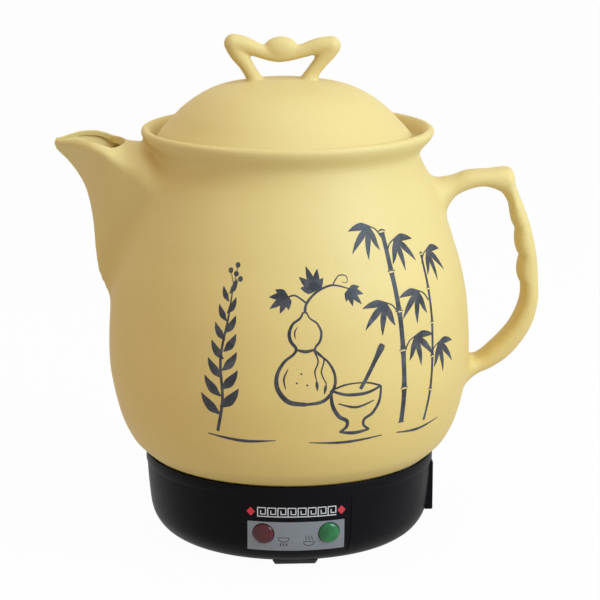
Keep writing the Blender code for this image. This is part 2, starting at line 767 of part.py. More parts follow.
def handle_rows():
    """Outer and inner points along the handle, with scallops for three fingers."""
    corners = []
    for outer_x, outer_drop, inner_x, inner_drop in HANDLE_SHARES:
        level = POT_TOP - HANDLE_TOP_DEPTH
        outer = (POT_RADIUS + outer_x * HANDLE_REACH_LENGTH, 0, level - outer_drop * HANDLE_HEIGHT)
        inner = (POT_RADIUS + inner_x * HANDLE_REACH_LENGTH, 0, level - inner_drop * HANDLE_HEIGHT)
        corners.append((Vector(outer), Vector(inner)))
    outer_run = [smooth_run([pair[0] for pair in corners], n) for n in range(1, max(HANDLE_STEPS) + 1)]
    inner_run = [smooth_run([pair[1] for pair in corners], n) for n in range(1, max(HANDLE_STEPS) + 1)]
    rows = []
    for i, steps in enumerate(HANDLE_STEPS):
        for j in range(steps):
            place_on_run = i + j / steps
            outer = outer_run[steps - 1][i * steps + j]
            inner = inner_run[steps - 1][i * steps + j]
            share = (place_on_run - FINGER_FIRST_ROW) / (FINGER_LAST_ROW - FINGER_FIRST_ROW)
            if 0 < share < 1:
                bump = FINGER_DEPTH * abs(math.sin(math.pi * FINGER_COUNT * share))
                inner = inner + (inner - outer).normalized() * bump
            rows.append((place_on_run, outer, inner))
    rows.append((len(HANDLE_STEPS), *corners[-1]))
    return rows


def handle():
    """The looped handle, an oval section carried along its rows."""
    rings = []
    last = len(HANDLE_STEPS)
    for place_on_run, outer, inner in handle_rows():
        from_root = min(place_on_run, last - place_on_run, 2) / 2
        width = HANDLE_ROOT_WIDTH + (HANDLE_WIDTH - HANDLE_ROOT_WIDTH) * from_root
        middle = (outer + inner) / 2
        reach = (outer - inner) / 2
        ring = []
        for angle in around(HANDLE_RING_POINTS):
            along = abs(math.cos(angle)) ** (2 / HANDLE_POWER) * math.copysign(1, math.cos(angle))
            across = abs(math.sin(angle)) ** (2 / HANDLE_POWER) * math.copysign(1, math.sin(angle))
            ring.append(middle + reach * along + Vector((0, width / 2 * across, 0)))
        rings.append(ring)
    return loft("handle", rings)


def ceramic_pot():
    """The pot: body, spout, strainer and handle in one fired piece."""
    outline = pot_outline()
    pot = turned("ceramic_pot", [(0, POT_TOP)] + outline + [(0, POT_BOTTOM)])
    join(pot, spout(), handle())
    cut(pot, pot_cavity(), *strainer_holes())
    return place(pot, CERAMIC)


# Lid


def dome_outline(radius, height, level):
    """A domed outline from its top down to its edge."""
    return [(radius * across, level + height * up) for across, up in DOME_SHARES]


def bow_height(rise):
    """A height on the bow knob, above the lid's edge."""
    return LID_EDGE_THICKNESS + LID_HEIGHT + rise


def bow_bar():
    """Points along the bow's bar, which dips between its two lobes."""
    top = bow_height(BOW_HEIGHT - BOW_LOBE_RADIUS)
    left = [
        Vector((-BOW_HALF_WIDTH * across, 0, top - BOW_BAR_DEPTH * dip))
        for across, dip in BOW_BAR_SHARES
    ]
    right = [Vector((-point.x, 0, point.z)) for point in reversed(left)]
    return left + right


def bow():
    """The solids of the bow knob: bar, lobes, legs and the round bead between the lobes."""
    bar = bow_bar()
    solids = [tube_mesh("bow_bar", bar, BOW_TUBE_RADIUS, 3)]
    foot = bow_height(-BOW_LEG_DEPTH)
    for side in (-1, 1):
        lobe = Vector((side * BOW_HALF_WIDTH, 0, bar[0].z))
        base = Vector((side * BOW_LEG_OFFSET, 0, foot))
        solids.append(rod("bow_leg", BOW_TUBE_RADIUS, lobe, base, BOW_SEGMENTS))
        solids.append(bead("bow_lobe", (BOW_LOBE_RADIUS,) * 3, lobe))
    centre = (0, 0, bar[len(bar) // 2].z + BOW_BEAD_OFFSET)
    half_sizes = (BOW_BEAD_HALF_WIDTH, BOW_BEAD_HALF_DEPTH, BOW_BEAD_HALF_HEIGHT)
    solids.append(bead("bow_bead", half_sizes, centre, BOW_SEGMENTS + 2))
    return solids


def ceramic_lid():
    """The lid: a domed shell with an edge that sits on the seat and a plug in the neck."""
    edge_in = LID_PLUG_RADIUS - LID_PLUG_WALL
    outer = dome_outline(LID_RADIUS, LID_HEIGHT, LID_EDGE_THICKNESS)
    inner = dome_outline(edge_in, LID_HEIGHT + LID_EDGE_THICKNESS - LID_WALL, 0)[::2]
    profile = outer + [(LID_RADIUS, 0), (LID_PLUG_RADIUS, 0), (LID_PLUG_RADIUS, -LID_PLUG_DEPTH)]
    profile += [(edge_in, -LID_PLUG_DEPTH)] + list(reversed(inner))
    lid = turned("ceramic_lid", profile)
    lid.location = (LID_SHIFT, 0, LID_LEVEL)
    for solid in bow():
        solid.location = (LID_SHIFT + BOW_OFFSET, 0, LID_LEVEL)
        join(lid, solid)
    return place(lid, CERAMIC)


# Base housing


def base_side():
    """The housing's outside from under its lip down to its bottom edge."""
    low = (BASE_FOOT_RADIUS, BASE_EDGE_HEIGHT)
    high = (BASE_LIP_RADIUS - BASE_LIP_STEP_WIDTH, BASE_HEIGHT - BASE_LIP_DEPTH)
    return list(reversed(between(BASE_SIDE_SHARES, low, high)))


def shelf_level():
    """The height of the shelf's top, under the bond ring."""
    return ring_outline()[0][1] - GAP


def ring_outline():
    """The bond ring's section: flat below, and close to the pot's bowl above."""
    bowl = pot_outline()[-len(BOWL_SHARES):]
    outer = BASE_LIP_RADIUS - BASE_LIP_STEP_WIDTH - BASE_WALL - GAP * 4
    inner = outer - RING_WIDTH
    under = bowl_height(bowl, inner) - RING_HEIGHT
    low_gap = GAP * 1.5
    bends = [radius for radius, _ in reversed(bowl) if inner < radius < outer]
    top = [(radius, bowl_height(bowl, radius) - low_gap) for radius in [inner, *bends, outer]]
    return [(inner, under), *top, (outer, under)]


def bowl_height(bowl, radius):
    """The height of the pot's bowl at a radius."""
    for (r_high, z_high), (r_low, z_low) in zip(bowl, bowl[1:]):
        if r_low <= radius <= r_high:
            return z_low + (z_high - z_low) * (radius - r_low) / (r_high - r_low)
    raise ValueError("radius is outside the bowl")


def bond_ring():
    """The silicone ring that beds the pot in the base."""
    ring = turned("bond_ring", ring_outline(), closed=True)
    return place(ring, SILICONE)


def front_point(angle_off, out, height):
    """A point in front of the base at an angle from the middle of the lamps."""
    return at_angle(out, FRONT_ANGLE + angle_off, height)


def lamp_rods(radius, out, inward):
    """Rods through the front, one for each lamp."""
    return [
        rod("lamp_hole", radius, front_point(side * LAMP_ANGLE, inward, LAMP_HEIGHT),
            front_point(side * LAMP_ANGLE, out, LAMP_HEIGHT), LENS_SEGMENTS)
        for side in (-1, 1)
    ]


def front_skin(low, high, inner_depth, outer_depth):
    """A section that follows the housing's outside between two heights."""
    side = base_side()
    heights = [high] + [z for _, z in side if low < z < high] + [low]
    outer = [(radius_at(side, z) + outer_depth, z) for z in heights]
    inner = [(radius_at(side, z) - inner_depth, z) for z in reversed(heights)]
    return outer + inner


def post_solids():
    """Screw posts and the ribs that tie them to the housing's wall."""
    side = base_side()
    solids = []
    for angle in around(POST_COUNT, POST_FIRST_ANGLE):
        solids.append(
            rod("post", POST_RADIUS, at_angle(POST_CIRCLE_RADIUS, angle, POST_BOTTOM),
                at_angle(POST_CIRCLE_RADIUS, angle, POST_TOP), DISC_SEGMENTS // 2)
        )
        rib_low = POST_BOTTOM + GAP
        outer = radius_at(side, rib_low) - BASE_WALL / 2
        rib = block(
            "post_rib",
            (POST_CIRCLE_RADIUS + POST_RADIUS / 2, -RIB_THICKNESS / 2, rib_low),
            (outer, RIB_THICKNESS / 2, POST_TOP - GAP),
        )
        rib.rotation_euler.z = angle
        solids.append(rib)
    return solids


def post_holes():
    """Screw holes down the middle of each post."""
    return [
        rod("post_hole", SCREW_HOLE_RADIUS, at_angle(POST_CIRCLE_RADIUS, angle, POST_BOTTOM - OVERRUN),
            at_angle(POST_CIRCLE_RADIUS, angle, POST_TOP + OVERRUN))
        for angle in around(POST_COUNT, POST_FIRST_ANGLE)
    ]


def rounded_block(name, low, high, fillet, axis):
    """A block whose four edges along an axis are rounded."""
    obj = block(name, low, high)
    bm = bmesh.new()
    bm.from_mesh(obj.data)
    edges = [e for e in bm.edges if abs((e.verts[0].co - e.verts[1].co).normalized()[axis]) > 0.9]
    bmesh.ops.bevel(bm, geom=edges, offset=fillet, segments=3, profile=0.5, affect="EDGES")
    bm.to_mesh(obj.data)
    bm.free()
    return obj


def base_housing():
    """The black base: a flared shell with a shelf, posts, lamp holes and an inlet boss."""
    side = base_side()
    lip_low = BASE_HEIGHT - BASE_LIP_DEPTH
    shelf_top = shelf_level()
    shelf_low = shelf_top - SHELF_THICKNESS
    shelf_in = side[0][0] - BASE_WALL - SHELF_WIDTH
    outer = [(BASE_LIP_RADIUS, BASE_HEIGHT), (BASE_LIP_RADIUS, lip_low)] + side
    inner_side = inset(side, BASE_WALL)
    above = [(BASE_LIP_RADIUS - BASE_LIP_WALL, BASE_HEIGHT)]
    above.append((BASE_LIP_RADIUS - BASE_LIP_WALL, lip_low + BASE_WALL))
    wall_in = side[0][0] - BASE_WALL
    shelf = [(wall_in, lip_low), (wall_in, shelf_top), (shelf_in, shelf_top), (shelf_in, shelf_low)]
    shelf.append((radius_at(side, shelf_low) - BASE_WALL, shelf_low))
    below = [(radius, height) for radius, height in inner_side if height < shelf_low - GAP]
    below[-1] = (BASE_FOOT_RADIUS - BASE_WALL, BASE_EDGE_HEIGHT)
    inner = above + shelf + below
    housing = turned("base_housing", outer + list(reversed(inner)), closed=True)

    boss_high = lip_low - GAP
    boss = block(
        "inlet_boss",
        (BOSS_FACE - BOSS_SKIN_THICKNESS, -BOSS_HALF_WIDTH, BOSS_LOW_HEIGHT),
        (BOSS_FACE, BOSS_HALF_WIDTH, boss_high),
    )
    pad = block(
        "inlet_pad",
        (BOSS_PAD_FACE, GAP - BOSS_HALF_WIDTH, BOSS_LOW_HEIGHT + GAP),
        (BOSS_FACE - BOSS_SKIN_THICKNESS / 2, BOSS_HALF_WIDTH - GAP, BOSS_PAD_HEIGHT),
    )
    face_cut = block(
        "inlet_face",
        (BOSS_FACE, -BOSS_HALF_WIDTH - GAP, BOSS_LOW_HEIGHT - OVERRUN),
        (BASE_LIP_RADIUS + OVERRUN, BOSS_HALF_WIDTH + GAP, boss_high),
    )
    reach_y = SOCKET_HALF_WIDTH + GAP
    reach_z = SOCKET_HALF_HEIGHT + GAP
    opening = rounded_block(
        "inlet_opening",
        (BOSS_PAD_FACE - OVERRUN, -reach_y, SOCKET_HEIGHT - reach_z),
        (BASE_LIP_RADIUS + OVERRUN, reach_y, SOCKET_HEIGHT + reach_z),
        SOCKET_FILLET_RADIUS, 0,
    )
    join(housing, boss, pad, *post_solids())
    cut(housing, face_cut, opening, *post_holes())
    for across in (-SOCKET_SCREW_OFFSET, SOCKET_SCREW_OFFSET):
        start = (BOSS_PAD_FACE - OVERRUN, across, SOCKET_HEIGHT)
        end = (FLANGE_FRONT + SOCKET_SCREW_LENGTH + 2 * GAP, across, SOCKET_HEIGHT)
        cut(housing, rod("inlet_screw_hole", SCREW_HOLE_RADIUS, start, end))
    recess_depth = PLATE_SHEET_THICKNESS - PLATE_STEP_DEPTH + GAP
    recess = front_skin(PLATE_LOW_HEIGHT - GAP, PLATE_HIGH_HEIGHT + GAP, recess_depth, OVERRUN)
    margin = GAP / BASE_LIP_RADIUS
    cut(housing, sector("plate_recess", recess, PLATE_HALF_ANGLE + margin, FRONT_ANGLE, PLATE_STEPS))
    hole_out = BASE_LIP_RADIUS + OVERRUN
    cut(housing, *lamp_rods(LENS_RADIUS + GAP, hole_out, hole_out - 4 * BASE_WALL))
    return place(housing, BLACK_PLASTIC)


def indicator_plate():
    """The grey plate around the two lamps, bent to the housing."""
    sunk = PLATE_SHEET_THICKNESS - PLATE_STEP_DEPTH
    skin = front_skin(PLATE_LOW_HEIGHT, PLATE_HIGH_HEIGHT, sunk, PLATE_STEP_DEPTH)
    plate = sector("indicator_plate", skin, PLATE_HALF_ANGLE, FRONT_ANGLE, PLATE_STEPS)
    hole_out = BASE_LIP_RADIUS + OVERRUN
    cut(plate, *lamp_rods(LENS_RADIUS + GAP, hole_out, hole_out - 4 * BASE_WALL))
    return place(plate, GREY_PLASTIC)


# Bottom cover, feet and screws


def screw_outline(length):
    """A screw's section, head up: the head's underside is at height zero."""
    rounded = SCREW_HEAD_HEIGHT / 4
    return [
        (0, SCREW_HEAD_HEIGHT),
        (SCREW_HEAD_RADIUS - rounded, SCREW_HEAD_HEIGHT),
        (SCREW_HEAD_RADIUS, SCREW_HEAD_HEIGHT - 2 * rounded),
        (SCREW_HEAD_RADIUS, 0),
        (SCREW_RADIUS, 0),
        (SCREW_RADIUS, SCREW_RADIUS - length),
        (0, -length),
    ]


def screw(name, length, seat, direction):
    """A slotted screw whose head's underside sits at a point, with its head towards direction."""
    made = turned(name, screw_outline(length), SCREW_SEGMENTS)
    turn = Vector(direction).to_track_quat("Z", "Y")
    made.rotation_euler = turn.to_euler()
    made.location = seat
    slot_low = SCREW_HEAD_HEIGHT - SCREW_SLOT_DEPTH
    reach = SCREW_HEAD_RADIUS + OVERRUN
    slot = block(
        name + "_slot",
        (-reach, -SCREW_SLOT_WIDTH / 2, slot_low),
        (reach, SCREW_SLOT_WIDTH / 2, SCREW_HEAD_HEIGHT + OVERRUN),
    )
    slot.rotation_euler = made.rotation_euler
    slot.location = seat
    cut(made, slot)
    return place(made, STEEL)


def bottom_cover():
    """The flat cover under the base, with screw recesses, foot sockets and vents."""
    cover = rod("bottom_cover", COVER_RADIUS, (0, 0, 0), (0, 0, COVER_THICKNESS), ROUND_SEGMENTS)
    boss_top = COVER_THICKNESS + COVER_BOSS_HEIGHT
    head_room = SCREW_HEAD_HEIGHT + GAP
    for angle in around(POST_COUNT, POST_FIRST_ANGLE):
        join(cover, rod("cover_boss", COVER_BOSS_RADIUS, at_angle(POST_CIRCLE_RADIUS, angle, GAP),
                        at_angle(POST_CIRCLE_RADIUS, angle, boss_top), DISC_SEGMENTS // 2))
        cut(cover, rod("cover_hole", SCREW_HOLE_RADIUS, at_angle(POST_CIRCLE_RADIUS, angle, -OVERRUN),
                       at_angle(POST_CIRCLE_RADIUS, angle, boss_top + OVERRUN)))
        cut(cover, rod("cover_recess", SCREW_HEAD_RADIUS + GAP,
                       at_angle(POST_CIRCLE_RADIUS, angle, -OVERRUN),
                       at_angle(POST_CIRCLE_RADIUS, angle, head_room), SMALL_SEGMENTS))
    foot_middle = FOOT_OUTER_RADIUS - FOOT_DEPTH / 2
    for angle in around(FOOT_COUNT, FOOT_FIRST_ANGLE):
        cut(cover, rod("foot_socket", FOOT_PEG_RADIUS + GAP, at_angle(foot_middle, angle, -OVERRUN),
                       at_angle(foot_middle, angle, COVER_THICKNESS + OVERRUN)))
    for side in (-1, 1):
        for i in range(VENT_COUNT):
            along = (i - (VENT_COUNT - 1) / 2) * VENT_PITCH
            low = (along - VENT_WIDTH / 2, side * VENT_OFFSET - VENT_LENGTH / 2, -OVERRUN)
            high = (along + VENT_WIDTH / 2, side * VENT_OFFSET + VENT_LENGTH / 2,
                    COVER_THICKNESS + OVERRUN)
            cut(cover, block("vent", low, high))
    return place(cover, BLACK_PLASTIC)


def cover_screws():
    """Four screws from below, through the cover and into the posts."""
    for number, angle in enumerate(around(POST_COUNT, POST_FIRST_ANGLE), 1):
        seat = at_angle(POST_CIRCLE_RADIUS, angle, SCREW_HEAD_HEIGHT)
        screw(f"cover_screw_{number}", COVER_SCREW_LENGTH, seat, (0, 0, -1))


def foot(name, angle):
    """A rubber foot: a tapered pad with a barbed peg through the cover."""
    low = -FOOT_HEIGHT
    high = -GAP
    rings = []
    for height, share in ((low, FOOT_TAPER_SHARE), (high, 1.0)):
        half = FOOT_WIDTH / 2 * share
        inner = FOOT_OUTER_RADIUS - FOOT_DEPTH * share
        rings.append([
            Vector((inner, -half, height)), Vector((FOOT_OUTER_RADIUS, -half, height)),
            Vector((FOOT_OUTER_RADIUS, half, height)), Vector((inner, half, height)),
        ])
    pad = loft(name, rings)
    middle = FOOT_OUTER_RADIUS - FOOT_DEPTH / 2
    head_low = COVER_THICKNESS + GAP
    head_high = head_low + FOOT_PEG_HEAD_HEIGHT
    peg = rod(name + "_peg", FOOT_PEG_RADIUS, (middle, 0, low / 2), (middle, 0, head_high - GAP))
    barb = rod(name + "_barb", FOOT_PEG_HEAD_RADIUS, (middle, 0, head_low), (middle, 0, head_high))
    for obj in (pad, peg, barb):
        obj.rotation_euler.z = angle
    join(pad, peg, barb)
    return place(pad, RUBBER)


def feet():
    """Feet at the front, the handle side, the back and the spout side."""
    names = ("foot_front", "foot_right", "foot_back", "foot_left")
    for name, angle in zip(names, around(FOOT_COUNT, FOOT_FIRST_ANGLE)):
        foot(name, angle)


# Heating stack


def heating_plate():
    """The round plate that presses against the pot's foot, on three legs."""
    plate = turned(
        "heating_plate",
        [(0, HEAT_TOP), (PLATE_RADIUS, HEAT_TOP), (PLATE_RADIUS, PLATE_UNDER), (0, PLATE_UNDER)],
        DISC_SEGMENTS,
    )
    leg_low = SHIELD_TOP + GAP
    for angle in around(LEG_COUNT, LEG_FIRST_ANGLE):
        join(plate, rod("plate_leg", LEG_RADIUS, at_angle(LEG_CIRCLE_RADIUS, angle, leg_low),
                        at_angle(LEG_CIRCLE_RADIUS, angle, PLATE_UNDER + PLATE_THICKNESS / 2)))
        cut(plate, rod("plate_leg_hole", SCREW_HOLE_RADIUS,
                       at_angle(LEG_CIRCLE_RADIUS, angle, leg_low - OVERRUN),
                       at_angle(LEG_CIRCLE_RADIUS, angle, leg_low + LEG_SCREW_DEPTH + GAP)))
    return place(plate, ALUMINIUM)


def plate_screws():
    """Three screws from under the heat shield into the heating plate's legs."""
    for number, angle in enumerate(around(LEG_COUNT, LEG_FIRST_ANGLE), 1):
        seat = at_angle(LEG_CIRCLE_RADIUS, angle, SHIELD_UNDER - GAP)
        length = SHIELD_SHEET_THICKNESS + 2 * GAP + LEG_SCREW_DEPTH - GAP
        screw(f"plate_screw_{number}", length, seat, (0, 0, -1))


def element_path():
    """The heating tube's centre line: most of a circle, with both ends turned down."""
    sweep = 2 * math.pi - 2 * ELEMENT_END_ANGLE
    count = round(sweep / ELEMENT_SEGMENT_ANGLE)
    arc = [
        at_angle(ELEMENT_CIRCLE_RADIUS, ELEMENT_END_ANGLE + sweep * i / count, ELEMENT_LEVEL)
        for i in range(count + 1)
    ]
    first = element_tail(arc[0], (arc[0] - arc[1]).normalized())
    last = element_tail(arc[-1], (arc[-1] - arc[-2]).normalized())
    return list(reversed(first)) + arc + last


def element_tail(end, outward):
    """Points from an end of the ring, round a quarter bend and straight down."""
    points = []
    for share in (1 / 3, 2 / 3, 1):
        angle = math.pi / 2 * share
        points.append(
            end + outward * ELEMENT_BEND_RADIUS * math.sin(angle)
            - Vector((0, 0, ELEMENT_BEND_RADIUS * (1 - math.cos(angle))))
        )
    points.append(points[-1] - Vector((0, 0, ELEMENT_TAIL_LENGTH)))
    return points


def element_ends():
    """The lowest points of the heating tube's two ends, below the lamp side and behind it."""
    path = element_path()
    return path[-1], path[0]


def heating_element():
    """The tubular heating element with a connecting pin in each end."""
    element = tube_mesh("heating_element", element_path(), ELEMENT_RADIUS, 2)
    for end in element_ends():
        tip = end - Vector((0, 0, ELEMENT_PIN_LENGTH))
        join(element, rod("element_pin", ELEMENT_PIN_RADIUS, end + Vector((0, 0, OVERRUN)), tip, 8))
    return place(element, STEEL)


def element_bushes():
    """A porcelain bush round each end of the element, seated in the heat shield."""
    for name, end in zip(("bush_live", "bush_neutral"), element_ends()):
        inner = ELEMENT_RADIUS + GAP
        sleeve = inner + BUSH_WALL
        flange = sleeve + BUSH_FLANGE_WIDTH
        low = SHIELD_UNDER - BUSH_FLANGE_HEIGHT
        flange_low = SHIELD_TOP + GAP
        bush = turned(
            name,
            [(flange, flange_low + BUSH_FLANGE_HEIGHT), (flange, flange_low), (sleeve, flange_low),
             (sleeve, low), (inner, low), (inner, flange_low + BUSH_FLANGE_HEIGHT)],
            SMALL_SEGMENTS, closed=True,
        )
        bush.location = (end.x, end.y, 0)
        place(bush, PORCELAIN)


def heat_shield():
    """The steel pan under the heating plate, carried on the posts by four ears."""
    rim = SHIELD_TOP + SHIELD_WALL_HEIGHT
    wall_in = SHIELD_WALL_RADIUS - SHIELD_SHEET_THICKNESS
    pan = turned(
        "heat_shield",
        [(0, SHIELD_TOP), (wall_in, SHIELD_TOP), (wall_in, rim), (SHIELD_WALL_RADIUS, rim),
         (SHIELD_WALL_RADIUS, SHIELD_TOP), (SHIELD_RADIUS, SHIELD_TOP),
         (SHIELD_RADIUS, SHIELD_UNDER), (0, SHIELD_UNDER)],
        DISC_SEGMENTS,
    )
    for angle in around(POST_COUNT, POST_FIRST_ANGLE):
        ear = block(
            "shield_ear",
            (SHIELD_EAR_ROOT, -SHIELD_EAR_WIDTH / 2, SHIELD_UNDER),
            (SHIELD_EAR_ROOT + SHIELD_EAR_LENGTH, SHIELD_EAR_WIDTH / 2, SHIELD_TOP),
        )
        ear.rotation_euler.z = angle
        join(pan, ear)
        cut(pan, rod("ear_hole", SCREW_HOLE_RADIUS,
                     at_angle(POST_CIRCLE_RADIUS, angle, SHIELD_UNDER - OVERRUN),
                     at_angle(POST_CIRCLE_RADIUS, angle, SHIELD_TOP + OVERRUN)))
    holes = [
        (at_angle(LEG_CIRCLE_RADIUS, angle, 0), SCREW_HOLE_RADIUS)
        for angle in around(LEG_COUNT, LEG_FIRST_ANGLE)
    ]
    holes += [(end, ELEMENT_RADIUS + BUSH_WALL + 2 * GAP) for end in element_ends()]
    holes.append((Vector((0, 0, 0)), THERMOSTAT_RADIUS + GAP))
    holes += [
        (Vector((0, side * BRACKET_RIVET_OFFSET, 0)), BRACKET_RIVET_RADIUS + GAP) for side in (-1, 1)
    ]
    for spot, radius in holes:
        cut(pan, rod("shield_hole", radius, (spot.x, spot.y, SHIELD_UNDER - OVERRUN),
                     (spot.x, spot.y, SHIELD_TOP + OVERRUN)))
    return place(pan, STEEL)


def shield_screws():
    """Four screws from above that hold the heat shield's ears to the posts."""
    for number, angle in enumerate(around(POST_COUNT, POST_FIRST_ANGLE), 1):
        seat = at_angle(POST_CIRCLE_RADIUS, angle, SHIELD_TOP + GAP)
        screw(f"shield_screw_{number}", SHIELD_SCREW_LENGTH, seat, (0, 0, 1))


# Thermostat and fuse


def tab_point(side):
    """The lower end of a thermostat tab."""
    low = SHIELD_UNDER - THERMOSTAT_DEPTH - THERMOSTAT_TAB_LENGTH
    return Vector((side * THERMOSTAT_TAB_OFFSET, 0, low))


def thermostat():
    """The disc thermostat, up against the heating plate, with two tabs below."""
    top = PLATE_UNDER - GAP
    low = SHIELD_UNDER - THERMOSTAT_DEPTH
    body = turned(
        "thermostat",
        [(0, top), (THERMOSTAT_RADIUS, top), (THERMOSTAT_RADIUS, low), (0, low)],
        SMALL_SEGMENTS,
    )
    half_width = THERMOSTAT_TAB_WIDTH / 2
    half_thick = THERMOSTAT_TAB_THICKNESS / 2
    for side in (-1, 1):
        end = tab_point(side)
        join(body, block("tab", (end.x - half_thick, -half_width, end.z),
                         (end.x + half_thick, half_width, low + OVERRUN / 2)))
    return place(body, PORCELAIN)


def thermostat_bracket():
    """The flat bracket that holds the thermostat, riveted through the heat shield."""
    low = SHIELD_TOP + GAP
    high = low + BRACKET_SHEET_THICKNESS
    bracket = block(
        "thermostat_bracket",
        (-BRACKET_WIDTH / 2, -BRACKET_LENGTH / 2, low),
        (BRACKET_WIDTH / 2, BRACKET_LENGTH / 2, high),
    )
    for side in (-1, 1):
        across = side * BRACKET_RIVET_OFFSET
        join(bracket, rod("rivet", BRACKET_RIVET_RADIUS, (0, across, high - BRACKET_SHEET_THICKNESS / 2),
                          (0, across, SHIELD_UNDER - BRACKET_SHEET_THICKNESS), 8))
    cut(bracket, rod("bracket_hole", THERMOSTAT_RADIUS + GAP, (0, 0, low - OVERRUN),
                     (0, 0, high + OVERRUN)))
    return place(bracket, STEEL)


def fuse_ends():
    """The two lead tips of the thermal fuse."""
    x, y = FUSE_X, FUSE_Y
    height = SHIELD_UNDER - 2 * GAP - FUSE_RADIUS
    reach = FUSE_LENGTH / 2 + FUSE_LEAD_LENGTH
    return Vector((x + reach, y, height)), Vector((x - reach, y, height))


def thermal_fuse():
    """The thermal fuse lying under the heat shield, with a lead at each end."""
    x, y = FUSE_X, FUSE_Y
    right, left = fuse_ends()
    half = FUSE_LENGTH / 2
    body = rod("thermal_fuse", FUSE_RADIUS, (x - half, y, right.z), (x + half, y, right.z))
    join(body, rod("fuse_leads", FUSE_LEAD_RADIUS, left, right, 8))
    return place(body, ALUMINIUM)


def fuse_clip():
    """The clip that holds the fuse to the heat shield."""
    x, y = FUSE_X, FUSE_Y
    right, _ = fuse_ends()
    half_x = CLIP_LENGTH / 2
    half_y = CLIP_WIDTH / 2
    clip = block("fuse_clip", (x - half_x, y - half_y, right.z - FUSE_RADIUS - BRACKET_SHEET_THICKNESS),
                 (x + half_x, y + half_y, SHIELD_UNDER - GAP))
    cut(clip, rod("clip_bore", FUSE_RADIUS + GAP, (x - CLIP_LENGTH, y, right.z),
                  (x + CLIP_LENGTH, y, right.z)))
    cut(clip, block("clip_mouth", (x - CLIP_LENGTH, y - FUSE_RADIUS, right.z),
                    (x + CLIP_LENGTH, y + FUSE_RADIUS, SHIELD_UNDER + OVERRUN)))
    return place(clip, STEEL)


# Lamps


def lamp_frame(side):
    """A lamp's angle and the radius of the housing's outside at the lamp."""
    return FRONT_ANGLE + side * LAMP_ANGLE, radius_at(base_side(), LAMP_HEIGHT)


def point_outwards(obj, angle, out):
    """Aim a turned piece's axis outwards from the base's axis, at the lamps' height."""
    obj.location = at_angle(out, angle, LAMP_HEIGHT)
    obj.rotation_euler = at_angle(1, angle, 0).to_track_quat("Z", "Y").to_euler()


def lamp_lens(name, side, finish):
    """A domed lens whose hollow stem goes back through the housing's wall."""
    angle, out = lamp_frame(side)
    stand = LENS_STAND_HEIGHT
    crown = [(LENS_RADIUS * across, stand + LENS_CROWN_HEIGHT * up) for across, up in LENS_CROWN_SHARES]
    back = stand - LENS_LENGTH
    bore_top = stand - LENS_TIP_WALL
    profile = crown + [(LENS_RADIUS, back), (LENS_BORE_RADIUS, back), (LENS_BORE_RADIUS, bore_top)]
    profile.append((0, bore_top))
    lens = turned(name, profile, LENS_SEGMENTS)
    point_outwards(lens, angle, out)
    return place(lens, finish)


def lamp_holder(name, side):
    """A cup behind the housing's wall that takes the lens's stem and the bulb."""
    angle, out = lamp_frame(side)
    front = -HOLDER_SETBACK_DEPTH
    back = front - HOLDER_LENGTH
    floor = back + HOLDER_BACK_THICKNESS
    bore = LENS_RADIUS + GAP
    hole = BULB_RADIUS + GAP
    holder = turned(
        name,
        [(HOLDER_RADIUS, front), (HOLDER_RADIUS, back), (hole, back), (hole, floor), (bore, floor),
         (bore, front)],
        LENS_SEGMENTS, closed=True,
    )
    point_outwards(holder, angle, out)
    return place(holder, BLACK_PLASTIC)


def bulb_back():
    """How far a bulb's back end lies behind the housing's outside."""
    return HOLDER_SETBACK_DEPTH + HOLDER_LENGTH + BULB_RADIUS / 2


def neon_bulb(name, side):
    """A small neon bulb held in the back of its holder."""
    angle, out = lamp_frame(side)
    back = -bulb_back()
    front = back + BULB_LENGTH
    shoulder = BULB_RADIUS / 2
    bulb = turned(
        name,
        [(0, front), (shoulder, front - shoulder / 2), (BULB_RADIUS, front - BULB_RADIUS),
         (BULB_RADIUS, back), (0, back)],
        SMALL_SEGMENTS,
    )
    point_outwards(bulb, angle, out)
    return place(bulb, GLASS)


def lamps():
    """The red cook lamp on the spout side and the green keep-warm lamp on the handle side."""
    for word, side, finish in (("cook", -1, RED_LENS), ("warm", 1, GREEN_LENS)):
        lamp_lens("lens_" + word, side, finish)
        lamp_holder("lamp_holder_" + word, side)
        neon_bulb("neon_bulb_" + word, side)


# Power inlet


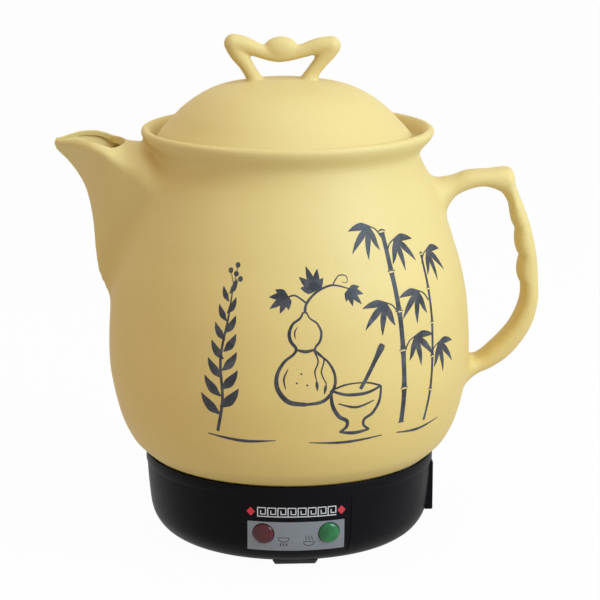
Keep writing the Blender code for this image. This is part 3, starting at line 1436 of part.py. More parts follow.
def inlet_socket():
    """The inlet's body: a recessed box with a flange behind the housing's wall."""
    low = SOCKET_HEIGHT - SOCKET_HALF_HEIGHT
    high = SOCKET_HEIGHT + SOCKET_HALF_HEIGHT
    body = rounded_block("inlet_socket", (SOCKET_BACK, -SOCKET_HALF_WIDTH, low),
                         (SOCKET_FACE, SOCKET_HALF_WIDTH, high), SOCKET_FILLET_RADIUS, 0)
    flange_back = FLANGE_FRONT - SOCKET_FLANGE_THICKNESS
    flange = block("inlet_flange", (flange_back, -SOCKET_FLANGE_HALF_WIDTH, low + SOCKET_WALL),
                   (FLANGE_FRONT, SOCKET_FLANGE_HALF_WIDTH, high - SOCKET_WALL))
    recess = rounded_block(
        "inlet_recess",
        (SOCKET_BOTTOM, SOCKET_WALL - SOCKET_HALF_WIDTH, low + SOCKET_WALL),
        (SOCKET_FACE + OVERRUN, SOCKET_HALF_WIDTH - SOCKET_WALL, high - SOCKET_WALL),
        SOCKET_FILLET_RADIUS - SOCKET_WALL / 2, 0,
    )
    join(body, flange)
    cut(body, recess)
    for across in (-SOCKET_SCREW_OFFSET, SOCKET_SCREW_OFFSET):
        cut(body, rod("flange_hole", SCREW_HOLE_RADIUS,
                      (flange_back - OVERRUN, across, SOCKET_HEIGHT),
                      (FLANGE_FRONT + OVERRUN, across, SOCKET_HEIGHT)))
    for across, rise in pin_places():
        half_y = PIN_WIDTH / 2 + GAP
        half_z = PIN_THICKNESS / 2 + GAP
        middle = SOCKET_HEIGHT + rise
        cut(body, block("pin_slot", (SOCKET_BACK - OVERRUN, across - half_y, middle - half_z),
                        (SOCKET_BOTTOM + OVERRUN, across + half_y, middle + half_z)))
    return place(body, BLACK_PLASTIC)


def pin_places():
    """Sideways place and rise of the live, neutral and earth pins."""
    return [(-PIN_SPACING, -PIN_OFFSET), (PIN_SPACING, -PIN_OFFSET), (0, EARTH_OFFSET)]


def pin_tail(index):
    """The inner end of a pin, where its lead begins."""
    across, rise = pin_places()[index]
    return Vector((SOCKET_BACK - PIN_TAIL_LENGTH, across, SOCKET_HEIGHT + rise))


def inlet_pins():
    """Three flat pins through the socket's back wall."""
    for index, name in enumerate(("inlet_pin_live", "inlet_pin_neutral", "inlet_pin_earth")):
        tail = pin_tail(index)
        low = (tail.x, tail.y - PIN_WIDTH / 2, tail.z - PIN_THICKNESS / 2)
        high = (SOCKET_BOTTOM + PIN_REACH_LENGTH, tail.y + PIN_WIDTH / 2, tail.z + PIN_THICKNESS / 2)
        place(block(name, low, high), BRASS)


def inlet_screws():
    """Two screws from inside, through the flange and into the housing's pad."""
    back = FLANGE_FRONT - SOCKET_FLANGE_THICKNESS
    length = SOCKET_FLANGE_THICKNESS + SOCKET_SCREW_LENGTH
    for number, across in enumerate((-SOCKET_SCREW_OFFSET, SOCKET_SCREW_OFFSET), 1):
        seat = (back - GAP, across, SOCKET_HEIGHT)
        screw(f"inlet_screw_{number}", length, seat, (-1, 0, 0))


# Inner leads


def lead(name, finish, start, start_way, end, end_way, sag=LEAD_SAG_DEPTH):
    """A thin lead from one terminal to another, leaving each straight and sagging between."""
    start_way = Vector(start_way)
    end_way = Vector(end_way)
    first = Vector(start) + start_way * GAP
    last = Vector(end) + end_way * GAP
    a = first + start_way * LEAD_STUB_LENGTH
    d = last + end_way * LEAD_STUB_LENGTH
    reach = (d - a).length * LEAD_REACH_SHARE
    b = a + start_way * reach
    c = d + end_way * reach
    for point in (b, c):
        point.z = max(point.z - sag, COVER_THICKNESS + 2 * LEAD_RADIUS)
    points = [first]
    for i in range(LEAD_STEPS + 1):
        t = i / LEAD_STEPS
        u = 1 - t
        points.append(u ** 3 * a + 3 * u * u * t * b + 3 * u * t * t * c + t ** 3 * d)
    points.append(last)
    return place(tube(name, points, LEAD_RADIUS, LEAD_SIDES), finish)


def lamp_lead(name, side, target, target_way):
    """A lead from a bulb's back to a terminal under the heat shield."""
    angle, out = lamp_frame(side)
    back = at_angle(out - bulb_back(), angle, LAMP_HEIGHT)
    lead(name, RED_LEAD, back, -at_angle(1, angle, 0), target, target_way, LAMP_LEAD_SAG_DEPTH)


def leads():
    """The leads between the inlet, fuse, thermostat, element, shield and lamps."""
    live_end, neutral_end = element_ends()
    pin_drop = Vector((0, 0, ELEMENT_PIN_LENGTH))
    fuse_right, fuse_left = fuse_ends()
    down = (0, 0, -1)
    inward = (-1, 0, 0)
    under_tail = Vector((PIN_TAIL_LENGTH, 0, -PIN_THICKNESS)) / 2
    lead("lead_live", BROWN_LEAD, pin_tail(0) + under_tail, down, fuse_right, (1, 0, 0))
    lead("lead_fuse", BROWN_LEAD, fuse_left, inward, tab_point(-1), down)
    lead("lead_thermostat", BROWN_LEAD, tab_point(1), down, live_end - pin_drop, down)
    lead("lead_neutral", BLUE_LEAD, pin_tail(1) + under_tail, down, neutral_end - pin_drop, down)
    tag = ((SHIELD_WALL_RADIUS + SHIELD_RADIUS) / 2, 0, SHIELD_TOP)
    lead("lead_earth", GREEN_LEAD, pin_tail(2), inward, tag, (0, 0, 1), 0)
    beside_pin = live_end - Vector((0, ELEMENT_PIN_RADIUS, ELEMENT_PIN_LENGTH / 2))
    lamp_lead("lead_lamp_warm", 1, beside_pin, (0, -1, 0))
    under_fuse = fuse_left + Vector((FUSE_LEAD_LENGTH / 2, 0, -FUSE_LEAD_RADIUS))
    lamp_lead("lead_lamp_cook", -1, under_fuse, down)


BUILDERS = [
    ceramic_pot, ceramic_lid, base_housing, bond_ring, indicator_plate, bottom_cover, cover_screws,
    feet, heating_plate, plate_screws, heating_element, element_bushes, heat_shield, shield_screws,
    thermostat, thermostat_bracket, thermal_fuse, fuse_clip, lamps, inlet_socket, inlet_pins,
    inlet_screws, leads,
]


def main():
    """Make every piece."""
    for builder in BUILDERS:
        builder()


main()
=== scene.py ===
"""Looks of the electric herbal medicine pot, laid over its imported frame.

The file is an add-on that is run as a script. Its operators model the ceramic pot, its lid,
the black base with its lamps, the ink drawing and the studio, in the frame's own axes: the
handle points to +X, the spout to -X and the lamps face -Y. Outlines, sections and strokes
are tables in millimetres, and every other length is in metres.
"""

import math

import bpy
from bpy.props import FloatProperty, FloatVectorProperty, PointerProperty
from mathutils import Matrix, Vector
from mathutils.bvhtree import BVHTree


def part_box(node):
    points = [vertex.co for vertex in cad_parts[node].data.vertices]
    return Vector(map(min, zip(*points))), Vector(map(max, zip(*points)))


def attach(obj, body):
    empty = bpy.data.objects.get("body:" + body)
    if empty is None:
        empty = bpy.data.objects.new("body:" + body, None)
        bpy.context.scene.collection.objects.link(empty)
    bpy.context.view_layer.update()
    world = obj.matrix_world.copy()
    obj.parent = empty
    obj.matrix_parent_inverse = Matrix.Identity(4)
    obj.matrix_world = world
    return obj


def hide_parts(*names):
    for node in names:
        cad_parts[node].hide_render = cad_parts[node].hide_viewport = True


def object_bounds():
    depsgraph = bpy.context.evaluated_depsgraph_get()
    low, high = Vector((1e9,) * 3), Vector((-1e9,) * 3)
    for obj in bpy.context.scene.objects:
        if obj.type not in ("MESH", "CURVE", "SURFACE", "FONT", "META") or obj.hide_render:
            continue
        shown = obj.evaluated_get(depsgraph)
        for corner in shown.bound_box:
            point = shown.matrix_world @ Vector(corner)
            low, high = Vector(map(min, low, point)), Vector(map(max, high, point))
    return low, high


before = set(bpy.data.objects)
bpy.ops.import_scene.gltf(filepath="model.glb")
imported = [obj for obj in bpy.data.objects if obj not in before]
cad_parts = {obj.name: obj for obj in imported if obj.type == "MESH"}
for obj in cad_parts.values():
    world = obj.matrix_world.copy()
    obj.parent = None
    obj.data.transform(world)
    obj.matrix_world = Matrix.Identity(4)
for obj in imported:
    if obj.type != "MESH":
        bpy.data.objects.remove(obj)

bl_info = {
    "name": "Herbal medicine pot",
    "version": (1, 0, 0),
    "blender": (4, 5, 0),
    "location": "3D View > Sidebar > Pot",
    "description": "Builds the looks of an electric ceramic pot for herbal medicine",
    "category": "Object",
}

CAD_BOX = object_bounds()
MM = 0.001
UP = Vector((0, 0, 1))

# Outlines in millimetres: radius and height, down or along the surface

POT_BOWL = [
    (0.0, 36.5), (52.0, 36.5), (57.0, 36.8), (61.5, 37.7), (70.4, 40.8), (79.0, 45.4),
    (83.0, 48.5), (87.9, 53.3), (91.0, 58.4), (93.8, 64.5), (96.0, 71.4), (97.7, 78.5),
    (99.4, 87.0), (100.5, 95.3), (100.8, 105.0), (100.5, 114.9), (99.9, 124.5), (99.0, 134.5),
    (97.3, 144.5), (95.1, 154.1), (92.1, 163.9), (89.2, 173.7), (86.2, 182.2), (83.2, 190.0),
    (80.6, 196.0), (78.0, 201.2), (75.5, 205.6), (73.7, 209.4), (72.8, 212.5), (73.6, 215.4),
    (75.6, 218.0), (77.9, 220.4), (79.7, 222.7), (80.5, 224.6), (80.2, 226.2), (79.2, 227.1),
    (77.9, 227.4), (0.0, 227.4),
]
POT_HOLLOW = [
    (0.0, 232.0), (77.9, 232.0), (77.9, 227.4), (76.8, 226.9), (75.6, 225.3), (74.4, 222.6),
    (73.5, 220.3), (72.8, 219.3), (71.9, 218.9), (69.2, 218.9), (68.6, 218.6), (68.4, 217.9),
    (68.4, 212.5), (70.6, 205.4), (74.4, 197.6), (79.4, 186.6), (84.3, 172.8), (88.4, 159.0),
    (91.6, 145.0), (94.0, 130.0), (95.3, 115.0), (95.7, 105.0), (95.2, 94.0), (93.6, 81.0),
    (90.6, 69.0), (86.6, 59.6), (80.4, 52.8), (71.0, 46.6), (60.6, 42.8), (52.0, 41.6),
    (0.0, 41.6),
]
DOME = [
    (0.0, 253.6), (10.0, 253.4), (20.7, 252.3), (29.5, 250.8), (37.0, 248.9), (44.2, 245.8),
    (51.0, 241.6), (57.6, 236.3), (62.7, 230.9), (66.6, 226.8), (69.0, 224.0), (70.1, 222.3),
    (70.4, 220.9), (70.1, 219.8), (69.2, 219.2),
]
DOME_UNDER = [
    (66.3, 219.2), (66.3, 209.2), (65.9, 208.5), (65.1, 208.2), (63.0, 208.2), (62.2, 208.5),
    (61.8, 209.2), (61.6, 219.4), (60.2, 224.0), (55.6, 230.6), (48.4, 237.4), (39.6, 242.6),
    (28.0, 246.4), (14.0, 248.8), (0.0, 249.4),
]

# The spout's sections: keel x and height, crown x and height, half width, ridge share, and
# the half width of the mouth

SPOUT_SECTIONS = [
    (-128.6, 217.8, -127.9, 221.4, 3.0, 0.55, 0.0),
    (-126.6, 214.6, -125.4, 222.5, 6.8, 0.60, 4.4),
    (-122.2, 210.2, -118.9, 224.6, 12.6, 0.70, 10.2),
    (-117.2, 204.0, -113.3, 226.0, 17.8, 0.727, 14.8),
    (-112.4, 195.2, -106.5, 226.1, 23.2, 0.765, 19.6),
    (-109.9, 186.0, -100.6, 224.8, 25.6, 0.798, 21.6),
    (-108.3, 175.1, -95.8, 222.2, 27.2, 0.826, 20.6),
    (-107.4, 162.0, -92.0, 220.6, 27.8, 0.841, 13.6),
    (-106.4, 151.0, -88.9, 219.2, 28.5, 0.853, 0.0),
    (-104.1, 141.3, -86.0, 218.7, 29.3, 0.85, 0.0),
    (-99.8, 131.5, -83.5, 218.6, 30.7, 0.85, 0.0),
    (-90.0, 118.0, -75.0, 217.0, 35.4, 0.83, 0.0),
    (-70.0, 120.0, -60.0, 214.0, 39.0, 0.745, 0.0),
]

# The strainer's holes: the height of each row and the number of its holes

STRAINER = [(190.0, 4), (180.0, 3), (170.0, 2), (160.0, 1)]

# The handle's sections: outer x and height, inner x and height

HANDLE_SECTIONS = [
    (70.0, 195.0, 70.0, 174.0), (84.0, 197.9, 86.5, 180.0), (91.1, 199.0, 91.5, 187.0),
    (99.0, 201.7, 99.0, 191.2), (110.9, 202.5, 108.0, 193.0), (122.2, 203.3, 117.0, 190.2),
    (125.0, 198.8, 120.6, 186.2), (126.0, 193.2, 122.8, 181.6), (133.4, 174.6, 126.6, 168.8),
    (138.2, 155.5, 129.2, 153.2), (139.7, 137.8, 130.2, 137.6), (139.6, 125.8, 129.6, 127.4),
    (135.6, 112.0, 124.2, 114.9), (126.0, 98.3, 114.6, 104.0), (115.0, 90.0, 105.4, 96.6),
    (104.0, 84.6, 99.6, 95.0), (90.0, 69.0, 88.0, 96.0),
]

# The bow knob: places along X from its middle, heights and radii

BOW_BAR = [
    (-27.0, 272.9, 5.2), (-22.7, 272.3, 5.0), (-17.5, 270.6, 4.4), (-13.8, 269.1, 3.95),
    (-10.5, 267.9, 3.8), (-4.4, 266.4, 3.8), (0.2, 266.4, 3.8), (4.9, 267.2, 3.8),
    (7.9, 268.0, 3.8), (11.9, 269.0, 3.9), (14.7, 270.0, 4.1), (18.9, 271.0, 4.6),
    (23.1, 271.4, 5.0), (26.3, 271.3, 5.2),
]
BOW_LEGS = [
    [(-27.0, 272.9, 5.2), (-25.7, 269.2, 4.8), (-23.6, 265.8, 4.4), (-20.6, 261.8, 4.0),
     (-17.4, 256.4, 3.9), (-16.3, 254.2, 4.4), (-15.7, 252.4, 5.5), (-15.3, 250.6, 7.0),
     (-15.0, 249.0, 8.4)],
    [(26.3, 271.3, 5.2), (24.9, 268.4, 4.8), (22.4, 265.1, 4.3), (19.9, 261.8, 3.9),
     (17.1, 258.1, 3.8), (15.2, 254.8, 4.4), (14.6, 253.0, 5.5), (14.2, 251.2, 6.8),
     (14.0, 249.0, 8.4)],
]

# The base: its outer side upwards, then its lip; and the lens from its crown to its stem

BASE_SIDE = [
    (69.6, 0.6), (72.2, 2.4), (74.3, 4.6), (76.1, 7.3), (77.5, 10.3), (78.5, 14.4),
    (79.2, 19.9), (79.8, 26.5), (80.25, 33.0), (80.5, 38.7),
]
BASE_LIP = [
    (80.5, 39.0), (80.85, 39.25), (81.1, 39.7), (81.1, 44.9), (80.95, 45.25), (80.6, 45.4),
    (79.9, 45.4), (79.6, 45.25), (79.5, 44.9), (79.5, 41.6), (78.1, 41.4),
]
LENS_OUTLINE = [
    (0.0, 2.4), (1.5, 2.35), (3.0, 2.15), (4.2, 1.8), (5.0, 1.4), (5.5, 0.95), (5.72, 0.4),
    (5.75, -0.2), (5.75, -12.3), (4.2, -12.3), (4.2, -0.4), (0.0, -0.4),
]

# The pot's and the lid's other sizes in metres, and steps along their tables

KEEL_BLUNTNESS = 0.12
DECK_SQUARENESS = 2.3
SPOUT_STEPS = 6
BORE_START = 16
MOUTH_START, MOUTH_END = 3, 47
LEAST_OPENING = 0.0004
FULL_FLARE = 0.004
STRAINER_PITCH = 0.010
STRAINER_RADIUS = 0.0022
STRAINER_START = -0.070
LEAN = 0.0008
LEAN_START, LEAN_REACH = 0.100, 0.090
HANDLE_STEPS = 8
FINGERS_START, FINGER_COUNT = 7, 3
FINGER_RISE, FINGER_GROWTH = 0.0015, 0.0008
ROOT_WIDTH, GRIP_WIDTH = 0.030, 0.020
BAR_SIDES = 32
LOBE_RADIUS = 0.00535
BEAD_SHIFT, BEAD_HEIGHT = -0.0012, 0.2699
BEAD_HALVES = (0.0095, 0.0049, 0.0067)

# The housing's wall and the shelf below the silicone ring, in millimetres as its outline is

HOUSING_WALL = 2.4
RING_GAP = 0.3
SHELF_RADIUS, SHELF_THICKNESS = 68.1, 2.0

# The base's other sizes in metres: a band is a lowest and a highest height, and a cut runs
# from inside the wall to outside it

SIDE_CUT = (0.0700, 0.0850)
LAMP_HEIGHT = 0.0187
LAMP_HOLE_RADIUS = 0.00605
LENS_REACH = 0.07907
PLATE_BAND = (0.0085, 0.0256)
PLATE_RISE, PLATE_DEPTH = 0.0003, 0.0006
RECESS_BAND = (0.0082, 0.0259)
RECESS_GAP, RECESS_DEPTH = 0.0003, 0.0009
LINE_BAND = (0.0052, 0.0376)
LINE_GAP, LINE_HALF, LINE_DEPTH = 0.0032, 0.0003, 0.0003
LINE_RADIUS = 0.0785
CUTTER_RISE = 0.003
SCREW_HOLE_RADIUS = 0.00175
POST_REACH, POST_RADIUS = 0.061, 0.0045
POST_BAND, POST_HOLE_BAND = (0.0055, 0.0180), (0.0040, 0.0200)
BOSS_HALF, BOSS_BAND = 0.0180, (0.0105, 0.0389)
PAD_HALF, PAD_BAND = 0.0177, (0.0108, 0.0310)
SOCKET_HALVES, SOCKET_CORNER = (0.0112, 0.0083), 0.0030
INLET_HEIGHT, INLET_SCREW_REACH = 0.0205, 0.0144
FOOT_HALVES, FOOT_BAND = (0.0125, 0.0060), (-0.0030, -0.0003)
PEG_BAND, BARB_HEIGHT = (-0.0015, 0.0039), 0.0034
BARB_HALVES = (0.0042, 0.0042, 0.0007)

# The studio: where the lamps stand and aim, and where the camera looks

KEY_PLACE = (1.15, -0.85, 0.85)
TOP_PLACE = (0.1, -0.25, 1.6)
POT_MIDDLE = (0.0, 0.0, 0.13)
CAMERA_TARGET = (0.0061, 0.0, 0.1289)


# Sizes and colours that a user would change


def as_colour(name, description, default):
    """A colour setting."""
    return FloatVectorProperty(
        name=name, description=description, default=default, subtype="COLOR", size=3, min=0.0,
        max=1.0,
    )


def as_length(name, description, default):
    """A setting for a length in metres."""
    return FloatProperty(name=name, description=description, default=default, unit="LENGTH")


def as_angle(name, description, degrees):
    """A setting for an angle, its default given in degrees."""
    return FloatProperty(
        name=name, description=description, default=math.radians(degrees), subtype="ANGLE",
    )


def as_number(name, description, default):
    """A setting for a plain number."""
    return FloatProperty(name=name, description=description, default=default)


class CeramicSettings(bpy.types.PropertyGroup):
    """The fired clay of the pot and its lid."""

    clay: as_colour("Clay", "The fired body, unglazed and smooth", (0.705, 0.563, 0.222))
    shade: as_colour("Shade", "Clay that the kiln coloured more", (0.645, 0.502, 0.186))
    # Foot is painted shade: the share of each colour left where the clay is painted browner and
    # darker towards the bottom
    foot: as_colour("Foot", "Share of each colour left at the browner foot", (0.98, 0.91, 0.75))
    speck: as_colour("Speck", "The clay's fine iron specks", (0.30, 0.19, 0.07))
    mesh_step: as_length("Mesh step", "Size of the even faces on the pot's skin", 0.00165)
    spout_blend: as_length("Spout blend", "How far the spout's root is softened", 0.0085)
    handle_blend: as_length("Handle blend", "How far the handle's roots are softened", 0.013)
    lip_round: as_length("Lip rounding", "Rounding of the edge of the spout's opening", 0.0014)
    wall: as_length("Spout wall", "Thickness of the spout's wall", 0.0046)


class LidSettings(bpy.types.PropertyGroup):
    """The lid and its bow knob."""

    shift: as_length("Shift", "How far the loose lid sits towards the spout", -0.0026)
    knob_blend: as_length("Knob blend", "How far the knob's two roots are softened", 0.0036)
    bow_middle: as_length("Bow middle", "Place of the bow's middle along X", -0.0031)


class BaseSettings(bpy.types.PropertyGroup):
    """The black base and its indicator plate."""

    plastic: as_colour("Plastic", "The black moulded housing", (0.0045, 0.0040, 0.0050))
    plate: as_colour("Plate", "The satin grey indicator plate", (0.183, 0.200, 0.218))
    red: as_colour("Red lens", "The cook lamp's lens", (0.056, 0.004, 0.007))
    green: as_colour("Green lens", "The keep-warm lamp's lens", (0.012, 0.125, 0.036))
    plate_half: as_length("Plate half width", "Half of the indicator plate's width", 0.0260)
    lamp_turn: as_angle("Lamp angle", "From the middle of the front to each lamp", 12.9)


class DrawingSettings(bpy.types.PropertyGroup):
    """The ink drawing on the pot and the print on the base."""

    ink: as_colour("Ink", "The fired ink", (0.026, 0.028, 0.036))
    lift: as_length("Ink height", "How far the ink stands proud of the clay", 0.00012)
    rise: as_number("Rise", "How far the whole drawing is moved up, in millimetres", 20.0)
    white: as_colour("White print", "The fret band", (0.62, 0.63, 0.64))
    red: as_colour("Red print", "The lozenges at the band's ends", (0.60, 0.035, 0.055))
    grey: as_colour("Grey print", "The small signs beside the lamps", (0.035, 0.036, 0.042))


class StageSettings(bpy.types.PropertyGroup):
    """The floor, the lights and the camera."""

    distance: as_length("Camera distance", "From the pot's middle to the camera", 1.232)
    azimuth: as_angle("Camera azimuth", "Turn of the camera about the pot from its front", -3.0)
    elevation: as_angle("Camera elevation", "Height of the camera as an angle", 13.4)
    focal: as_number("Lens", "Focal length in millimetres", 132.0)
    air: as_number("Air", "Strength of the even light from all round", 0.68)
    key: as_number("Key light", "Power of the large lamp at the front right", 21.8)
    top: as_number("Top light", "Power of the lamp overhead", 7.8)
    warm: as_colour("Air colour", "The even light, a little warm", (1.0, 0.79, 0.617))
    cool: as_colour("Lamp colour", "The lamps, a little cool", (0.62, 0.82, 1.0))


class HerbPotSettings(bpy.types.PropertyGroup):
    """All sizes and colours of the pot."""

    ceramic: PointerProperty(type=CeramicSettings)
    lid: PointerProperty(type=LidSettings)
    base: PointerProperty(type=BaseSettings)
    drawing: PointerProperty(type=DrawingSettings)
    stage: PointerProperty(type=StageSettings)


def settings():
    """The sizes and colours kept on the scene."""
    return bpy.context.scene.herb_pot


# Shader building


class Value:
    """One output of a shader node, with arithmetic that adds Math nodes."""

    def __init__(self, finish, socket):
        self.finish = finish
        self.socket = socket

    def math(self, operation, *others):
        """A Math node on this value and the others."""
        return self.finish.node("ShaderNodeMath", {"operation": operation}, [self, *others])

    def __add__(self, other):
        return self.math("ADD", other)

    def __mul__(self, other):
        return self.math("MULTIPLY", other)

    def __sub__(self, other):
        return self.math("SUBTRACT", other)

    def __rsub__(self, other):
        return self.finish.node("ShaderNodeMath", {"operation": "SUBTRACT"}, [other, self])

    __radd__ = __add__
    __rmul__ = __mul__


class Finish:
    """A material or a world under construction, with one method that adds any node."""

    def __init__(self, name, world=None):
        self.material = world or bpy.data.materials.new(name)
        self.material.use_nodes = True
        self.tree = self.material.node_tree
        self.tree.nodes.clear()

    def node(self, kind, options=None, inputs=None, output=0):
        """A node with its settings, then the values or links of its sockets."""
        made = self.tree.nodes.new(kind)
        for name, value in (options or {}).items():
            setattr(made, name, value)
        pairs = inputs.items() if isinstance(inputs, dict) else enumerate(inputs or [])
        for name, value in pairs:
            if isinstance(value, Value):
                self.tree.links.new(value.socket, made.inputs[name])
            else:
                made.inputs[name].default_value = value
        return Value(self, made.outputs[output]) if made.outputs else None

    def place(self, scale=(1.0, 1.0, 1.0)):
        """Object coordinates, stretched by a Mapping node."""
        where = self.node("ShaderNodeTexCoord", output="Object")
        return self.node("ShaderNodeMapping", {}, {"Vector": where, "Scale": scale})

    def noise(self, where, scale, detail, rough):
        """Soft noise between 0 and 1."""
        return self.node(
            "ShaderNodeTexNoise", {"noise_dimensions": "3D"},
            {"Vector": where, "Scale": scale, "Detail": detail, "Roughness": rough},
        )

    def spread(self, value, low, high, out_low=0.0, out_high=1.0):
        """A value moved from one range to another, held within it."""
        return self.node(
            "ShaderNodeMapRange", {"clamp": True}, [value, low, high, out_low, out_high])

    def blend(self, factor, one, other, kind="MIX"):
        """Two colours mixed."""
        return self.node(
            "ShaderNodeMix", {"data_type": "RGBA", "blend_type": kind},
            {0: factor, 6: colour(one), 7: colour(other)}, output=2,
        )

    def bump(self, height, strength, distance):
        """A bump from a height."""
        inputs = {"Height": height, "Strength": strength, "Distance": distance}
        return self.node("ShaderNodeBump", {}, inputs)

    def close(self, **sockets):
        """The material, closed with a Principled shader."""
        inputs = {name.replace("_", " "): value for name, value in sockets.items()}
        shader = self.node("ShaderNodeBsdfPrincipled", {}, inputs)
        self.node("ShaderNodeOutputMaterial", {}, {"Surface": shader})
        return self.material


def colour(value):
    """A colour with its alpha, or a link as it is."""
    return value if isinstance(value, Value) else (*value[:3], 1.0)


def times(rgb, factor):
    """A colour made lighter or darker."""
    return tuple(min(part * factor, 1.0) for part in rgb)


# Finishes


def one_grain(name, noise, tones, rough, relief=None, **sockets):
    """A finish whose colour, roughness and relief all follow one noise."""
    made = Finish(name)
    grain = made.noise(made.place(), *noise)
    if relief:
        sockets["Normal"] = made.bump(grain, *relief)
    return made.close(
        Base_Color=made.blend(grain, *tones), Roughness=made.spread(grain, 0.2, 0.8, *rough),
        **sockets,
    )


def fired_clay():
    """Unglazed, smoothed clay: warm yellow with faint clouds, fine specks, a dry grain, and
    painted shade that makes it browner and darker towards the bottom.
    """
    look = settings().ceramic
    made = Finish("fired_clay")
    where = made.place()
    clouds = made.spread(made.noise(where, 9.0, 4.0, 0.6), 0.32, 0.68)
    grain = made.noise(where, 900.0, 2.0, 0.6)
    specks = made.spread(made.noise(where, 620.0, 1.0, 0.4), 0.74, 0.80)
    tone = made.blend(clouds * 0.55, look.clay, look.shade)
    tone = made.blend(made.spread(grain, 0.3, 0.7, 0.0, 0.10), tone, times(look.shade, 0.7))
    # Painted shade: the clay is multiplied browner and darker towards the bottom, fully below
    # 0.075 m and fading out by 0.19 m
    height = made.node("ShaderNodeSeparateXYZ", {}, [where], output="Z")
    low = 1.0 - made.spread(height, 0.075, 0.19)
    tone = made.blend(low, tone, look.foot, "MULTIPLY")
    tone = made.blend(specks * 0.12, tone, look.speck)
    return made.close(
        Base_Color=tone, Roughness=made.spread(grain + clouds * 0.4, 0.3, 1.1, 0.52, 0.66),
        Normal=made.bump(grain + clouds * 2.0, 0.16, 0.00025), Specular_IOR_Level=0.5,
    )


def fired_ink():
    """Brushed ink fired into the clay: blue-black, thinner and greyer in patches."""
    made = Finish("fired_ink")
    where = made.place()
    thin = made.spread(made.noise(where, 160.0, 4.0, 0.65), 0.42, 0.72)
    ink = settings().drawing.ink
    grey = [part * more for part, more in zip(ink, (4.2, 3.9, 3.2))]
    return made.close(
        Base_Color=made.blend(thin * 0.8, ink, grey), Specular_IOR_Level=0.3,
        Roughness=made.spread(thin, 0.0, 1.0, 0.42, 0.6),
        Normal=made.bump(made.noise(where, 900.0, 2.0, 0.6), 0.16, 0.0002),
    )


def print_ink(name, tint):
    """Screen-printed ink, even with a faint grain."""
    return one_grain(
        name, (1200.0, 2.0, 0.5), (times(tint, 0.86), times(tint, 1.06)), (0.4, 0.55),
        Specular_IOR_Level=0.3,
    )


def housing_plastic():
    """Black moulded plastic with a fine spark-eroded grain and faint handling haze."""
    tint = settings().base.plastic
    made = Finish("black_plastic_grain")
    where = made.place()
    grain = made.noise(where, 1500.0, 2.0, 0.6)
    haze = made.spread(made.noise(where, 22.0, 4.0, 0.65), 0.35, 0.7)
    return made.close(
        Base_Color=made.blend(haze * 0.5, tint, times(tint, 1.5)),
        Roughness=made.spread(grain * 0.3 + haze, 0.0, 1.3, 0.38, 0.5),
        Normal=made.bump(grain, 0.12, 0.0002), Specular_IOR_Level=0.055,
    )


def inner_plastic():
    """Plain black plastic of the hidden mouldings, with a mould grain."""
    return one_grain(
        "inner_plastic", (1100.0, 2.0, 0.6), ((0.012, 0.012, 0.013), (0.022, 0.022, 0.024)),
        (0.4, 0.55), (0.15, 0.0002),
    )


def satin_plate():
    """Silver-grey printed plate, finely brushed along its length, with a soft clear coat."""
    tint = settings().base.plate
    made = Finish("satin_plate")
    brushed = made.noise(made.place((1.0, 1.0, 60.0)), 260.0, 2.0, 0.6)
    streaks = brushed * 0.5 + made.noise(made.place(), 30.0, 2.0, 0.5) * 0.3
    return made.close(
        Base_Color=made.blend(streaks, times(tint, 0.88), times(tint, 1.15)),
        Roughness=made.spread(brushed, 0.2, 0.8, 0.36, 0.5),
        Normal=made.bump(brushed, 0.10, 0.0001),
        Metallic=0.25, Coat_Weight=0.35, Coat_Roughness=0.22,
    )


def lamp_lens(name):
    """Moulded translucent lens: a tinted body with a clear glossy skin."""
    tint = getattr(settings().base, name)
    made = Finish(name + "_lens_body")
    where = made.place()
    depth = made.noise(where, 130.0, 3.0, 0.5)
    cloud = made.spread(depth, 0.35, 0.7)
    return made.close(
        Base_Color=made.blend(cloud, times(tint, 0.7), times(tint, 1.5)),
        Roughness=made.spread(depth, 0.3, 0.8, 0.14, 0.24),
        Normal=made.bump(made.noise(where, 260.0, 1.0, 0.4), 0.10, 0.0004),
        Specular_IOR_Level=0.25, Coat_Weight=0.18, Coat_Roughness=0.08,
    )


def rubber():
    """Dull black rubber with a dusty skin."""
    made = Finish("foot_rubber")
    where = made.place()
    dust = made.spread(made.noise(where, 240.0, 4.0, 0.7), 0.35, 0.75)
    return made.close(
        Base_Color=made.blend(dust * 0.6, (0.014, 0.014, 0.014), (0.05, 0.048, 0.045)),
        Roughness=made.spread(dust, 0.0, 1.0, 0.7, 0.9),
        Normal=made.bump(made.noise(where, 1400.0, 2.0, 0.6), 0.2, 0.0002),
    )


def silicone():
    """Whitish silicone, slightly waxy."""
    return one_grain(
        "bond_silicone", (160.0, 2.0, 0.5), ((0.50, 0.50, 0.47), (0.60, 0.60, 0.56)),
        (0.42, 0.58), (0.2, 0.0003),
    )


def metal(name, tint, rough, stretch=(1.0, 1.0, 1.0)):
    """A bare metal with fine drawn or rolled lines and a few dull patches."""
    made = Finish(name)
    lines = made.noise(made.place(stretch), 700.0, 3.0, 0.6)
    patches = made.spread(made.noise(made.place(), 60.0, 3.0, 0.6), 0.4, 0.7)
    return made.close(
        Base_Color=made.blend(patches * 0.4 + lines * 0.3, tint, times(tint, 0.72)),
        Roughness=made.spread(lines + patches, 0.3, 1.7, rough, rough + 0.16),
        Normal=made.bump(lines, 0.12, 0.0001), Metallic=1.0,
    )


def porcelain():
    """White glazed porcelain of the bushes and the thermostat."""
    return one_grain(
        "white_porcelain", (200.0, 2.0, 0.5), ((0.78, 0.76, 0.70), (0.84, 0.83, 0.79)),
        (0.2, 0.34), Coat_Weight=0.3, Coat_Roughness=0.1,
    )


def bulb_glass():
    """Thin orange-tinted glass of a neon bulb."""
    return one_grain(
        "neon_glass", (300.0, 1.0, 0.5), ((0.82, 0.55, 0.38), (0.90, 0.70, 0.55)),
        (0.04, 0.1), Transmission_Weight=0.6, IOR=1.47,
    )


